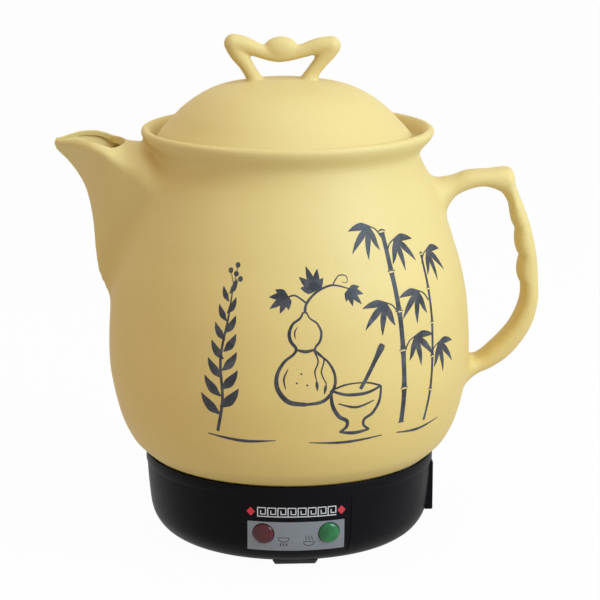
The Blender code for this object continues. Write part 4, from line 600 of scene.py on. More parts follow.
def sleeve(name, tint):
    """Coloured silicone sleeve of an inner lead, ribbed finely by its braid."""
    return one_grain(
        name, (1600.0, 2.0, 0.5), (times(tint, 0.8), times(tint, 1.2)), (0.42, 0.6),
        (0.25, 0.0001),
    )


def straight_sight(made):
    """1 for what the camera sees by itself, in a reflection or through glass, else 0."""
    seen = made.node("ShaderNodeLightPath", output="Is Camera Ray")
    for ray in ("Is Glossy Ray", "Is Transmission Ray"):
        seen = seen.math("MAXIMUM", made.node("ShaderNodeLightPath", output=ray))
    return seen


def studio_paper():
    """Pale paper that shows white to the camera and keeps the pot's shadow."""
    made = Finish("studio_paper")
    grain = made.noise(made.place(), 60.0, 3.0, 0.5)
    tone = made.blend(grain, (0.60, 0.60, 0.60), (0.66, 0.66, 0.66))
    inputs = {"Base Color": tone, "Roughness": 0.9, "Specular IOR Level": 0.0}
    paper = made.node("ShaderNodeBsdfPrincipled", {}, inputs)
    white = made.node("ShaderNodeEmission", {}, [(1.0, 1.0, 1.0, 1.0), 1.0])
    mixed = made.node("ShaderNodeMixShader", {}, [straight_sight(made) * 0.97, paper, white])
    made.node("ShaderNodeOutputMaterial", {}, {"Surface": mixed})
    return made.material


SLOT_FINISHES = {
    "ceramic": fired_clay,
    "black_plastic": inner_plastic,
    "grey_plastic": satin_plate,
    "red_lens": lambda: lamp_lens("red"),
    "green_lens": lambda: lamp_lens("green"),
    "rubber": rubber,
    "silicone": silicone,
    "steel": lambda: metal("steel_sheet", (0.56, 0.57, 0.58), 0.30, (1.0, 12.0, 1.0)),
    "aluminium": lambda: metal("aluminium_cast", (0.80, 0.81, 0.82), 0.34),
    "brass": lambda: metal("brass_strip", (0.72, 0.52, 0.20), 0.22, (12.0, 1.0, 1.0)),
    "porcelain": porcelain,
    "glass": bulb_glass,
    "brown_lead": lambda: sleeve("brown_sleeve", (0.11, 0.04, 0.016)),
    "blue_lead": lambda: sleeve("blue_sleeve", (0.02, 0.06, 0.30)),
    "green_lead": lambda: sleeve("green_sleeve", (0.18, 0.33, 0.03)),
    "red_lead": lambda: sleeve("red_sleeve", (0.34, 0.02, 0.02)),
}
FINISHED = {}


def finish_of(slot):
    """The finish of one material slot of the record, made when it is first asked for."""
    if slot not in FINISHED:
        FINISHED[slot] = SLOT_FINISHES[slot]()
    return FINISHED[slot]


# Modelling helpers


def pick(*pieces):
    """Select these pieces alone and make the last one active."""
    active = bpy.context.view_layer.objects.active
    if active and active.mode != "OBJECT":
        bpy.ops.object.mode_set(mode="OBJECT")
    bpy.ops.object.select_all(action="DESELECT")
    for piece in pieces:
        piece.select_set(True)
    if pieces:
        bpy.context.view_layer.objects.active = pieces[-1]


def named(name):
    """The active piece, under its own name."""
    piece = bpy.context.view_layer.objects.active
    piece.name = name
    piece.data.name = name
    return piece


def open_points():
    """Open the active piece for editing by its points, all of them selected."""
    bpy.ops.object.mode_set(mode="EDIT")
    bpy.ops.mesh.select_mode(type="VERT")
    bpy.ops.mesh.select_all(action="SELECT")


def close_skin():
    """Merge doubled points, close open ends and turn all faces outwards."""
    bpy.ops.mesh.select_all(action="SELECT")
    bpy.ops.mesh.remove_doubles(threshold=0.000002)
    bpy.ops.mesh.select_all(action="DESELECT")
    bpy.ops.mesh.select_non_manifold()
    if bpy.context.object.data.total_edge_sel:
        bpy.ops.mesh.fill_holes(sides=0)
    bpy.ops.mesh.select_all(action="SELECT")
    bpy.ops.mesh.normals_make_consistent(inside=False)
    bpy.ops.object.mode_set(mode="OBJECT")


def spun(name, outline, steps=192):
    """A turned piece: its outline is drawn by extruding a point, then spun about the axis."""
    pick()
    bpy.ops.mesh.primitive_plane_add(size=0.01)
    piece = named(name)
    open_points()
    bpy.ops.mesh.merge(type="CENTER")
    (radius, height), *rest = outline
    bpy.ops.transform.translate(value=(radius * MM, 0, height * MM))
    for r, z in rest:
        step = ((r - radius) * MM, 0, (z - height) * MM)
        bpy.ops.mesh.extrude_vertices_move(TRANSFORM_OT_translate={"value": step})
        radius, height = r, z
    bpy.ops.mesh.select_all(action="SELECT")
    bpy.ops.mesh.spin(steps=steps, angle=math.tau, center=(0, 0, 0), axis=(0, 0, 1))
    close_skin()
    return piece


def lofted(name, rings):
    """A closed skin through like rings: a grid whose points are set ring by ring."""
    sides = len(rings[0])
    pick()
    bpy.ops.mesh.primitive_grid_add(x_subdivisions=sides, y_subdivisions=len(rings) - 1, size=1)
    piece = named(name)
    places = [part for ring in rings for point in (*ring, ring[0]) for part in point]
    piece.data.vertices.foreach_set("co", places)
    open_points()
    close_skin()
    return piece


def block(name, low, high, round_edges=0.0, taper=1.0):
    """A block between two corners, its foot drawn in by a taper and its edges rounded."""
    pick()
    bpy.ops.mesh.primitive_cube_add(size=1)
    piece = named(name)
    low = Vector(low)
    size = Vector(high) - low
    middle = low + size / 2
    for vertex in piece.data.vertices:
        place = low + Vector([(part + 0.5) * side for part, side in zip(vertex.co, size)])
        if vertex.co.z < 0:
            place.xy = place.xy.lerp(middle.xy, 1 - taper)
        vertex.co = place
    if round_edges:
        open_points()
        bpy.ops.mesh.bevel(offset=round_edges, segments=3, affect="EDGES")
        bpy.ops.object.mode_set(mode="OBJECT")
    return piece


def rod(name, radius, start, end, sides=48):
    """A round rod between two points."""
    start, end = Vector(start), Vector(end)
    along = end - start
    pick()
    bpy.ops.mesh.primitive_cylinder_add(vertices=sides, radius=radius, depth=along.length)
    piece = named(name)
    turn = along.to_track_quat("Z", "Y")
    for vertex in piece.data.vertices:
        vertex.co = (start + end) / 2 + turn @ vertex.co
    return piece


def ball(name, centre, half_sizes):
    """A ball at a place, stretched to its half sizes."""
    pick()
    bpy.ops.mesh.primitive_uv_sphere_add(segments=40, ring_count=24, radius=1.0)
    piece = named(name)
    for vertex in piece.data.vertices:
        vertex.co = Vector(centre) + Vector([a * b for a, b in zip(vertex.co, half_sizes)])
    return piece


def change(piece, kind, **options):
    """Give a piece one modifier and apply it."""
    pick(piece)
    modifier = piece.modifiers.new(kind.lower(), kind)
    for name, value in options.items():
        setattr(modifier, name, value)
    bpy.ops.object.modifier_apply(modifier=modifier.name)


def copy_of(piece):
    """A copy with its own mesh."""
    pick(piece)
    bpy.ops.object.duplicate()
    return named(piece.name + "_copy")


def combine(piece, other, operation):
    """Change a piece by another closed one, which is then removed."""
    change(piece, "BOOLEAN", operation=operation, solver="MANIFOLD", object=other)
    bpy.data.objects.remove(other, do_unlink=True)


def carve(piece, tool):
    """Cut a tool's form out of a piece."""
    combine(piece, tool, "DIFFERENCE")


def fuse(piece, other):
    """Make another piece one with this one."""
    combine(piece, other, "UNION")


def shaded(piece, name, degrees):
    """The finished piece under its last name, smooth, with sharp edges above an angle."""
    pick(piece)
    bpy.ops.object.shade_smooth_by_angle(angle=math.radians(degrees))
    return named(name)


def dress(piece, body, slot, *nodes, finish=None):
    """Give a piece its finish, chosen by its slot unless one is given, put it on its body and
    hide the CAD nodes that it stands for.
    """
    piece.data.materials.clear()
    piece.data.materials.append(finish or finish_of(slot))
    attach(piece, body)
    if nodes:
        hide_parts(*nodes)


def curve_through(rows, steps):
    """Rows of numbers along a smooth curve through the given ones."""
    ends = [rows[0], *rows, rows[-1]]
    run = []
    for a, b, c, d in zip(ends, ends[1:], ends[2:], ends[3:]):
        for i in range(steps):
            t = i / steps
            run.append([
                0.5 * (2 * q + (r - p) * t + (2 * p - 5 * q + 4 * r - s) * t ** 2
                       + (3 * q - p - 3 * r + s) * t ** 3)
                for p, q, r, s in zip(a, b, c, d)
            ])
    return [*run, list(rows[-1])]


def softened(outline, steps, first=0, last=None):
    """An outline whose points from first to last are joined by a smooth curve."""
    last = last or len(outline)
    middle = curve_through(outline[first:last], steps)
    return outline[:first] + [tuple(point) for point in middle] + outline[last:]


BODY_SIDE = softened(POT_BOWL, 3, 1, len(POT_BOWL) - 1)


def radius_at(outline, height):
    """An outline's radius at a height, in metres, or its last radius above it."""
    height /= MM
    for (r_low, z_low), (r_high, z_high) in zip(outline, outline[1:]):
        if z_low <= height <= z_high and z_high > z_low:
            return (r_low + (r_high - r_low) * (height - z_low) / (z_high - z_low)) * MM
    return outline[-1][0] * MM


def around(radius, turn, height):
    """A point at a turn from the middle of the front."""
    return Vector((radius * math.sin(turn), -radius * math.cos(turn), height))


def tree_of(piece):
    """A search tree over a piece's faces."""
    return BVHTree.FromPolygons(
        [vertex.co for vertex in piece.data.vertices],
        [face.vertices for face in piece.data.polygons],
    )


def soften_root(piece, trees, reach, rounds):
    """Smooth a fused piece where the two pieces of the search trees meet."""
    group = piece.vertex_groups.new(name="root")
    levels = {}
    for vertex in piece.data.vertices:
        away = [tree.find_nearest(vertex.co, reach)[3] for tree in trees]
        weight = 0.0 if None in away else (reach - max(away)) / reach
        if weight > 0.02:
            levels.setdefault(round(weight, 1), []).append(vertex.index)
    for weight, indices in levels.items():
        group.add(indices, weight, "REPLACE")
    change(piece, "SMOOTH", factor=0.5, iterations=rounds, vertex_group="root")
    piece.vertex_groups.clear()


# Ceramic pot


def lean(height):
    """How far the body's upper part leans towards the spout at a height, in metres."""
    share = max(0.0, min((height - LEAN_START) / LEAN_REACH, 1.0))
    return -LEAN * share ** 2 * (3 - 2 * share)


def leaned(piece):
    """The piece with its upper part leaning as the body does."""
    for vertex in piece.data.vertices:
        vertex.co.x += lean(vertex.co.z)
    return piece


def mirrored(half):
    """A full ring from the half that runs from the crown to the keel."""
    return half + [Vector((p.x, -p.y, p.z)) for p in reversed(half[1:-1])]


class SpoutSection:
    """One row of the spout's table, in metres, and the rings that are drawn from it."""

    def __init__(self, row):
        self.keel = Vector((row[0], 0, row[1])) * MM
        self.crown = Vector((row[2], 0, row[3])) * MM
        self.ridge = self.keel.lerp(self.crown, row[5])
        self.half = row[4] * MM
        self.mouth = row[6] * MM

    def width(self, left):
        """The half width at a share of the way from the rounded keel to the ridge."""
        return (self.half * math.sqrt(left ** 2 + KEEL_BLUNTNESS * left)
                / math.sqrt(1 + KEEL_BLUNTNESS))

    def deck(self, across):
        """The point of the crowned deck at a distance from the spout's middle."""
        fall = min(across / self.half, 1.0) ** DECK_SQUARENESS
        point = self.ridge.lerp(self.crown, (1 - fall) ** (1 / DECK_SQUARENESS))
        return Vector((point.x, across, point.z))

    def wall(self):
        """The wall's thickness across: thinner beside the mouth, which is a little undercut."""
        tall = (self.ridge - self.keel).length
        undercut = 0.05 * self.half
        return min(settings().ceramic.wall * math.hypot(self.half, tall) / tall,
                   self.half - self.mouth - undercut)

    def outside(self):
        """The outer ring: a crowned deck, soft ridges and a narrow keel."""
        points = [
            self.deck(self.half * math.sin(math.pi / 2 * i / 14) ** 0.87) for i in range(15)
        ]
        for i in range(1, 19):
            left = (1 - i / 18) ** 1.5
            point = self.keel.lerp(self.ridge, left)
            points.append(Vector((point.x, self.width(left), point.z)))
        return mirrored(points)

    def inner_side(self, limit):
        """Points down the inside, from the ridge to the bottom of the bore."""
        wall = self.wall()
        blunt = KEEL_BLUNTNESS / 2
        bottom = math.sqrt(
            blunt ** 2 + (1 + KEEL_BLUNTNESS) * (wall / self.half) ** 2) - blunt
        points = []
        for i in range(13):
            left = 1 - (1 - bottom) * i / 12
            point = self.keel.lerp(self.ridge, left)
            across = min(max(self.width(left) - wall, 0), limit)
            points.append(Vector((point.x, across, point.z)))
        return points

    def bore(self):
        """The bore's ring, a wall's thickness inside the outer one."""
        inside = self.half - self.wall()
        down = (self.keel - self.crown).normalized()
        top = self.crown + down * settings().ceramic.wall
        points = []
        for i in range(8):
            angle = math.pi / 2 * i / 8
            point = self.ridge.lerp(top, math.cos(angle) ** 0.8)
            points.append(Vector((point.x, inside * math.sin(angle) ** 0.8, point.z)))
        return mirrored(points + self.inner_side(inside))

    def opening(self):
        """The mouth's ring: flared at the deck, straight below it, closed in the bore."""
        up = (self.crown - self.keel).normalized()
        open_half = max(self.mouth, LEAST_OPENING)
        flare = settings().ceramic.lip_round * min(open_half / FULL_FLARE, 1.0)
        edge = self.deck(open_half + flare).y
        top = self.crown + up * 0.004
        points = [Vector((top.x, edge * i / 4, top.z)) for i in range(5)]
        for i in range(7):
            angle = math.pi / 2 * i / 6
            place = self.deck(edge - flare * math.sin(angle))
            points.append(place - up * flare * (1 - math.cos(angle)))
        return mirrored(points + self.inner_side(open_half))


def spout_sections():
    """The spout's sections, joined smoothly."""
    return [SpoutSection(row) for row in curve_through(SPOUT_SECTIONS, SPOUT_STEPS)]


def make_cavity(body):
    """The room inside: the hollow, the spout's bore up to the body's wall, and the strainer."""
    sections = spout_sections()
    mouth = [section.opening() for section in sections[MOUTH_START:MOUTH_END]]
    cavity = lofted("spout_bore", [section.bore() for section in sections[BORE_START:]])
    fuse(cavity, lofted("spout_mouth", mouth))
    carve(cavity, copy_of(body))
    fuse(cavity, leaned(spun("pot_hollow", softened(POT_HOLLOW, 3, 13, len(POT_HOLLOW) - 1))))
    for height, count in STRAINER:
        height *= MM
        for i in range(count):
            across = (i - (count - 1) / 2) * STRAINER_PITCH
            wall = math.sqrt(radius_at(BODY_SIDE, height) ** 2 - across ** 2)
            end = (-wall - STRAINER_RADIUS, across, height)
            start = (STRAINER_START, across, height)
            fuse(cavity, rod("strainer_hole", STRAINER_RADIUS, start, end, 24))
    return cavity


def handle_sections():
    """Rings along the looped handle, with three finger bumps on its inner side."""
    last = len(HANDLE_SECTIONS) - 1
    rings = []
    for i, row in enumerate(curve_through(HANDLE_SECTIONS, HANDLE_STEPS)):
        along = i / HANDLE_STEPS
        outer = Vector((row[0], 0, row[1])) * MM
        inner = Vector((row[2], 0, row[3])) * MM
        share = (along - FINGERS_START) / 3
        if 0 < share < 1:
            wave = abs(math.sin(FINGER_COUNT * math.pi * share)) ** 0.8
            bump = (FINGER_RISE + FINGER_GROWTH * share) * wave
            inner = inner + (inner - outer).normalized() * bump
        from_root = min(along, last - along, 2) / 2
        half = (ROOT_WIDTH + (GRIP_WIDTH - ROOT_WIDTH) * from_root) / 2
        middle = (outer + inner) / 2
        reach = (outer - inner) / 2
        ring = []
        for k in range(40):
            angle = math.tau * k / 40
            across, side = [
                abs(part) ** 0.8 * math.copysign(1, part)
                for part in (math.cos(angle), math.sin(angle))
            ]
            ring.append(middle + reach * across + Vector((0, half * side, 0)))
        rings.append(ring)
    return rings


def make_ceramic_pot():
    """Body, spout and handle fused into one skin, softened at the roots and hollowed."""
    look = settings().ceramic
    pot = leaned(spun("pot_body", BODY_SIDE))
    body_tree = tree_of(pot)
    cavity = make_cavity(pot)
    spout = lofted("spout", [section.outside() for section in spout_sections()])
    handle = lofted("handle", handle_sections())
    spout_tree, handle_tree = tree_of(spout), tree_of(handle)
    fuse(pot, spout)
    fuse(pot, handle)
    exact = copy_of(pot)
    change(pot, "REMESH", mode="VOXEL", voxel_size=look.mesh_step, use_smooth_shade=True)
    change(pot, "SHRINKWRAP", wrap_method="NEAREST_SURFACEPOINT", target=exact)
    bpy.data.objects.remove(exact, do_unlink=True)
    soften_root(pot, (spout_tree, body_tree), look.spout_blend, 34)
    soften_root(pot, (handle_tree, body_tree), look.handle_blend, 60)
    carve(pot, cavity)
    return shaded(pot, "pot_skin", 50)


# Lid


def bow_rod(name, rows, steps):
    """A round bar in the plane of the bow, through the places and radii of a table."""
    middle = settings().lid.bow_middle
    path = curve_through(
        [[middle + x * MM, z * MM, radius * MM] for x, z, radius in rows], steps)
    rings = []
    for i, (x, z, radius) in enumerate(path):
        before, after = path[max(i - 1, 0)], path[min(i + 1, len(path) - 1)]
        along = Vector((after[0] - before[0], 0, after[1] - before[1])).normalized()
        side = Vector((-along.z, 0, along.x))
        ring = []
        for k in range(BAR_SIDES):
            angle = math.tau * k / BAR_SIDES
            ring.append(Vector((x, 0, z)) + side * radius * math.cos(angle)
                        + Vector((0, radius * math.sin(angle), 0)))
        rings.append(ring)
    return lofted(name, rings)


def make_knob():
    """The bow knob: its bar, two legs with a lobe each, and the bead, cut off in the dome."""
    middle = settings().lid.bow_middle
    knob = bow_rod("bow_bar", BOW_BAR, 6)
    for rows in BOW_LEGS:
        x, z = rows[0][:2]
        fuse(knob, bow_rod("bow_leg", rows, 4))
        fuse(knob, ball("bow_lobe", (middle + x * MM, 0, z * MM), (LOBE_RADIUS,) * 3))
    fuse(knob, ball("bow_bead", (middle + BEAD_SHIFT, 0, BEAD_HEIGHT), BEAD_HALVES))
    change(knob, "REMESH", mode="VOXEL", voxel_size=0.0007, use_smooth_shade=True)
    change(knob, "SMOOTH", factor=0.5, iterations=14)
    below = [(0.0, 240.0), (30.0, 240.0), (30.0, 249.4), (0.0, 252.8)]
    carve(knob, spun("under_dome", below, 48))
    return knob


def make_lid():
    """The domed lid with its plug and its bow knob."""
    look = settings().lid
    lid = spun("lid_dome", softened(DOME, 9) + softened(DOME_UNDER, 2, 6), 176)
    for vertex in lid.data.vertices:
        vertex.co.x += look.shift
    knob = make_knob()
    trees = tree_of(lid), tree_of(knob)
    fuse(lid, knob)
    soften_root(lid, trees, look.knob_blend, 14)
    return shaded(lid, "lid_skin", 45)


# Base


def curved_plate(name, band, half_width, out, back, middle=0.0, columns=72, rows=10):
    """A plate bent to the base's side between two heights, a closed ring for each column."""
    low, high = band
    heights = [low + (high - low) * i / rows for i in range(rows + 1)]
    radii = [radius_at(BASE_SIDE, height) for height in heights]
    rings = []
    for k in range(columns + 1):
        across = half_width * (2 * k / columns - 1)
        turns = [middle + math.asin(across / radius) for radius in radii]
        outer, inner = [
            [around(radius + rise, turn, z) for radius, turn, z in zip(radii, turns, heights)]
            for rise in (out, -back)
        ]
        rings.append(outer + inner[::-1])
    return lofted(name, rings)


def socket_opening():
    """The inlet's opening: a block with four rounded corners."""
    half_width, half_height = SOCKET_HALVES
    ring = []
    for k in range(36):
        angle = math.tau * (k + 0.5) / 36
        side = math.copysign(half_width - SOCKET_CORNER, math.cos(angle))
        rise = math.copysign(half_height - SOCKET_CORNER, math.sin(angle))
        ring.append((side + SOCKET_CORNER * math.cos(angle),
                     INLET_HEIGHT + rise + SOCKET_CORNER * math.sin(angle)))
    return lofted("opening", [[Vector((x, y, z)) for y, z in ring] for x in SIDE_CUT])


def bore_lamps(piece):
    """Bore the two lamps' holes through a piece."""
    turn = settings().base.lamp_turn
    for side in (-1, 1):
        start, end = [around(radius, side * turn, LAMP_HEIGHT) for radius in SIDE_CUT]
        carve(piece, rod("lamp_hole", LAMP_HOLE_RADIUS, start, end))


def add_inlet(housing):
    """The inlet's flat boss on the housing's right side, with its opening."""
    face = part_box("inlet_socket")[1].x + 0.0006
    low, high = BOSS_BAND
    fuse(housing, block("boss", (face - 0.0045, -BOSS_HALF, low), (face, BOSS_HALF, high),
                        0.0007))
    fuse(housing, block("boss_pad", (face - 0.0068, -PAD_HALF, PAD_BAND[0]),
                        (face - 0.0016, PAD_HALF, PAD_BAND[1])))
    carve(housing, block("boss_face", (face, -0.0183, 0.0085), (SIDE_CUT[1], 0.0183, high)))
    carve(housing, socket_opening())


def make_housing():
    """The black base with its lip, shelf, inlet, plate recess, panel line and posts."""
    look = settings().base
    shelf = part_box("bond_ring")[0].z / MM - RING_GAP
    under = shelf - SHELF_THICKNESS
    side = softened(BASE_SIDE, 2)
    inner = [(radius - HOUSING_WALL, z) for radius, z in reversed(side) if z < shelf - 2.6]
    inner[-1] = (67.2, 0.6)
    ledge = [(78.1, shelf), (SHELF_RADIUS, shelf), (SHELF_RADIUS, under), (inner[0][0], under)]
    housing = spun("housing", side + BASE_LIP + ledge + inner + side[:1])
    add_inlet(housing)
    carve(housing, curved_plate("recess", RECESS_BAND, look.plate_half + RECESS_GAP,
                                CUTTER_RISE, RECESS_DEPTH))
    line_turn = math.asin((look.plate_half + LINE_GAP) / LINE_RADIUS)
    carve(housing, curved_plate("panel_line", LINE_BAND, LINE_HALF, CUTTER_RISE, LINE_DEPTH,
                                line_turn, columns=4))
    bore_lamps(housing)
    for k in range(4):
        middle = around(POST_REACH, math.radians(45 + 90 * k), 0)
        post = [middle + UP * height for height in POST_BAND]
        hole = [middle + UP * height for height in POST_HOLE_BAND]
        fuse(housing, rod("post", POST_RADIUS, *post))
        carve(housing, rod("post_hole", SCREW_HOLE_RADIUS, *hole, 24))
    for across in (-INLET_SCREW_REACH, INLET_SCREW_REACH):
        start, end = [(x, across, INLET_HEIGHT) for x in (0.0700, 0.0780)]
        carve(housing, rod("screw_hole", SCREW_HOLE_RADIUS, start, end, 24))
    return shaded(housing, "housing_shell", 35)


def make_plate():
    """The grey plate around the lamps."""
    half = settings().base.plate_half
    plate = curved_plate("plate", PLATE_BAND, half, PLATE_RISE, PLATE_DEPTH, columns=96,
                         rows=12)
    bore_lamps(plate)
    return shaded(plate, "plate_face", 35)


def make_lens(name, side):
    """A domed lens with its hollow stem, aimed outwards from the base."""
    lens = spun(name, LENS_OUTLINE, 64)
    turn = side * settings().base.lamp_turn
    centre = around(LENS_REACH, turn, LAMP_HEIGHT)
    aim = around(1.0, turn, 0).to_track_quat("Z", "Y")
    for vertex in lens.data.vertices:
        vertex.co = centre + aim @ vertex.co
    return shaded(lens, name, 40)


def make_foot(name, node):
    """A tapered rubber pad with rounded edges on the node's place, and its barbed peg."""
    low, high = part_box(node)
    centre = Vector(((low.x + high.x) / 2, (low.y + high.y) / 2, 0))
    along_x = high.x - low.x > high.y - low.y
    half = Vector((*(FOOT_HALVES if along_x else FOOT_HALVES[::-1]), 0))
    bottom, top = [UP * height for height in FOOT_BAND]
    foot = block(name, centre - half + bottom, centre + half + top, 0.0005, taper=0.88)
    start, end = [centre + UP * height for height in PEG_BAND]
    fuse(foot, rod("peg", 0.003, start, end, 32))
    fuse(foot, ball("barb", centre + UP * BARB_HEIGHT, BARB_HALVES))
    return shaded(foot, name, 35)


# Ink drawing and print: a stroke is a row of distances across, heights and half widths in
# millimetres, and a distance across is measured round the pot or straight across the base

DRAWN_RADIUS = 100.0
INK_ROOT = 0.0003
FRET_UNITS = 8
FRET_PITCH = 5.4
FRET_LINE = 28.6
LOZENGE_REACH = 24.4
LOZENGE_HEIGHT = 31.1
SIGN_REACH = 6.8


def body_point(across, height, lift):
    """A point above the pot's skin, at a distance round it from the middle of the front."""
    height = (height + settings().drawing.rise) * MM
    point = around(radius_at(BODY_SIDE, height) + lift, across / DRAWN_RADIUS, height)
    return point + Vector((lean(height), 0, 0))


def side_point(across, height, lift):
    """A point above the base's side, at a distance across from the middle of the front."""
    radius = radius_at(BASE_SIDE, height * MM)
    return around(radius + lift, math.asin(across * MM / radius), height * MM)


def ribbon(name, rows, point, lift):
    """One stroke as a thin raised ribbon with sloped edges, sunk a little into its ground."""
    path = curve_through(rows, 5)
    rings = []
    for i, (across, height, half) in enumerate(path):
        before, after = path[max(i - 1, 0)], path[min(i + 1, len(path) - 1)]
        along = Vector((after[0] - before[0], after[1] - before[1])).normalized() * half
        rings.append([
            point(across - along.y * side, height + along.x * side, rise)
            for side, rise in ((-1, lift * 0.4), (-0.6, lift), (0.6, lift), (1, lift * 0.4),
                               (1, lift - INK_ROOT), (-1, lift - INK_ROOT))
        ])
    return lofted(name, rings)


def stroked(name, rows, point, lift):
    """A drawing: all its strokes as one mesh."""
    pick(*[ribbon(name, row, point, lift) for row in rows])
    bpy.ops.object.join()
    return named(name)


def leaf(across, height, aim, length, half, bend=0.0):
    """A brushed leaf: a pointed stroke that swells and tapers along an angle in degrees."""
    rows = []
    for share, width in ((0, 0.14), (0.15, 0.5), (0.4, 1), (0.7, 0.72), (0.9, 0.3), (1, 0.07)):
        turn = math.radians(aim + bend * share)
        rows.append((across + length * share * math.cos(turn),
                     height + length * share * math.sin(turn), half * width))
    return rows


def dot(across, height, radius):
    """A round dot."""
    return [(across + radius * step, height, radius * math.sqrt(1.02 - step ** 2))
            for step in (-1, -0.9, -0.6, 0, 0.6, 0.9, 1)]


def stalk(start, end, joints, half):
    """A bamboo stalk: strokes between joints, each joint marked by a short bar."""
    rows = []
    for k in range(joints):
        marks = []
        for share, swell in ((0.04, 1.2), (0.12, 0.95), (0.5, 0.88), (0.88, 0.95), (0.96, 1.2)):
            along = (k + share) / joints
            sway = 1.2 * math.sin(3.0 * along)
            marks.append((start[0] + (end[0] - start[0]) * along + sway,
                          start[1] + (end[1] - start[1]) * along, half * swell))
        rows.append(marks)
        across, height, swell = marks[-1]
        rows.append([(across - half * 1.5, height + 0.75, 0.25), (across, height + 1.3, 0.42),
                     (across + half * 1.5, height + 0.75, 0.25)])
    return rows


def bamboo():
    """Two bamboo stalks with drooping leaves."""
    rows = stalk((60, 60), (56, 163), 5, 1.7) + stalk((78, 58), (84, 148), 5, 1.0)
    sprays = [
        (57, 152, 1), (58, 121, -1), (61, 101, 1), (83, 143, 1), (82, 124, -1), (80, 94, 1),
        (55, 160, -1),
    ]
    for across, height, side in sprays:
        tip = (across + 7 * side, height + 6)
        rows.append([(across, height, 0.5), (across + 3 * side, height + 4, 0.4),
                     (tip[0], tip[1], 0.3)])
        for aim, length in ((-62, 17), (-28, 19), (8, 15), (-95, 13)):
            turn = aim if side > 0 else 180 - aim
            rows.append(leaf(tip[0], tip[1], turn, length, 1.9, -14 * side))
    return rows


def gourd():
    """A bottle gourd on its vine, tied with a cord."""
    left = [
        (0, -15, 1.1), (-9, -13.5, 1.3), (-14.5, -7, 1.2), (-15, 0.5, 1.0), (-11.5, 7.5, 0.8),
        (-6.2, 12, 0.7), (-5, 15, 0.8), (-7.6, 18.5, 0.9), (-8.4, 23, 0.9), (-6.4, 27.6, 0.7),
        (-2.6, 30.4, 0.6), (-0.9, 33.5, 0.5),
    ]
    right = [(-across, height, half * 0.72) for across, height, half in left]
    marks = [
        left, right, [(-5.4, 14.4, 0.5), (0, 13.2, 0.9), (5.4, 14.4, 0.5)],
        [(4.6, 14, 0.5), (9.4, 9, 0.4), (8, 2, 0.4), (10.5, -4, 0.3)],
        [(4.2, 14, 0.5), (6.4, 8, 0.4), (4.6, 2.6, 0.4), (5.4, -2, 0.25)],
        leaf(10.5, -4, -100, 6, 0.8), leaf(5.4, -2, -85, 6, 0.8),
        [(-10.6, -6.5, 0.2), (-11.4, -1, 0.5), (-9.2, 4, 0.2)], dot(-2.4, 1.5, 0.5),
        [(-5.2, 20, 0.15), (-5.6, 23, 0.4), (-4.2, 26, 0.15)], dot(-4.8, -3.4, 0.5),
        dot(0.6, -4.6, 0.5),
        [(0, 33, 0.8), (1.2, 38, 0.7), (7, 43.5, 0.6), (16, 46.5, 0.5), (26, 44, 0.3)],
        [(16, 46.5, 0.35), (20, 51, 0.3), (24.5, 50.5, 0.25), (24.4, 47.4, 0.2),
         (21.6, 47.8, 0.15)],
        [(1.2, 38, 0.5), (-5, 42, 0.45), (-10, 41, 0.35), (-13.5, 43.5, 0.2)],
    ]
    leaves = ((6, 44, 110, 1.0), (-9, 42, 215, 0.9), (25, 44, -50, 0.8))
    for across, height, turn, size in leaves:
        for spread, length in ((-58, 8), (-30, 11), (0, 13), (30, 11), (58, 8)):
            marks.append(leaf(across, height, turn + spread, length * size, 2.1 * size))
    return [[(across + 4, height + 92, half) for across, height, half in mark]
            for mark in marks]


def sprig():
    """An upright herb with paired leaves and berries."""
    rows = [[(-44, 60, 0.9), (-40, 78, 0.8), (-41, 100, 0.7), (-37, 122, 0.5), (-35, 140, 0.3)]]
    for k in range(7):
        height = 70 + 10 * k
        across = -41.6 + 0.75 * k
        length = 15 - 1.1 * k
        rows.append(leaf(across, height, 152 - 3 * k, length, 2.7 - 0.2 * k, -18))
        rows.append(leaf(across, height + 4, 28 + 3 * k, length, 2.7 - 0.2 * k, 18))
    for across, height in ((-34, 144), (-37.4, 145.6), (-31.4, 141.6), (-33.4, 148.4)):
        rows.append(dot(across, height, 1.4))
        rows.append([(-35, 138, 0.25), ((across - 35) / 2, (height + 138) / 2, 0.2),
                     (across, height, 0.2)])
    return rows


def mortar():
    """A footed mortar with its pestle, and a few strokes of ground."""
    bowl = [(17, 84, 0.7), (17.8, 76, 1.0), (21.5, 69.5, 1.1), (26, 66.6, 1.0), (26, 63, 0.9),
            (22.5, 60.4, 0.7)]
    return [
        bowl, [(62 - across, height, half * 0.8) for across, height, half in bowl],
        [(22.5, 60.4, 0.6), (31, 59.2, 1.0), (39.5, 60.4, 0.6)],
        [(17, 84, 0.6), (24, 81.4, 0.8), (31, 80.8, 0.9), (38, 81.4, 0.8), (45, 84, 0.6)],
        [(17, 84, 0.5), (24, 86.4, 0.5), (31, 87, 0.4), (38, 86.4, 0.5), (45, 84, 0.5)],
        [(33, 83.6, 1.0), (37, 90, 1.1), (42, 98.5, 1.3), (45.4, 104, 2.0), (46.6, 106, 1.4)],
        [(21, 76.6, 0.3), (31, 73.8, 0.7), (41, 76.6, 0.3)],
        [(-50, 58, 0.3), (-30, 55.6, 0.9), (-12, 56.6, 0.2)],
        [(6, 55.2, 0.2), (26, 54.2, 0.8), (48, 55.6, 0.3)],
        [(58, 55.4, 0.3), (74, 54.4, 0.8), (92, 57, 0.2)],
    ]


def bar(across, height, across_end, height_end, half):
    """A straight bar with square ends."""
    return [(across + (across_end - across) * k / 2,
             height + (height_end - height) * k / 2, half) for k in range(3)]


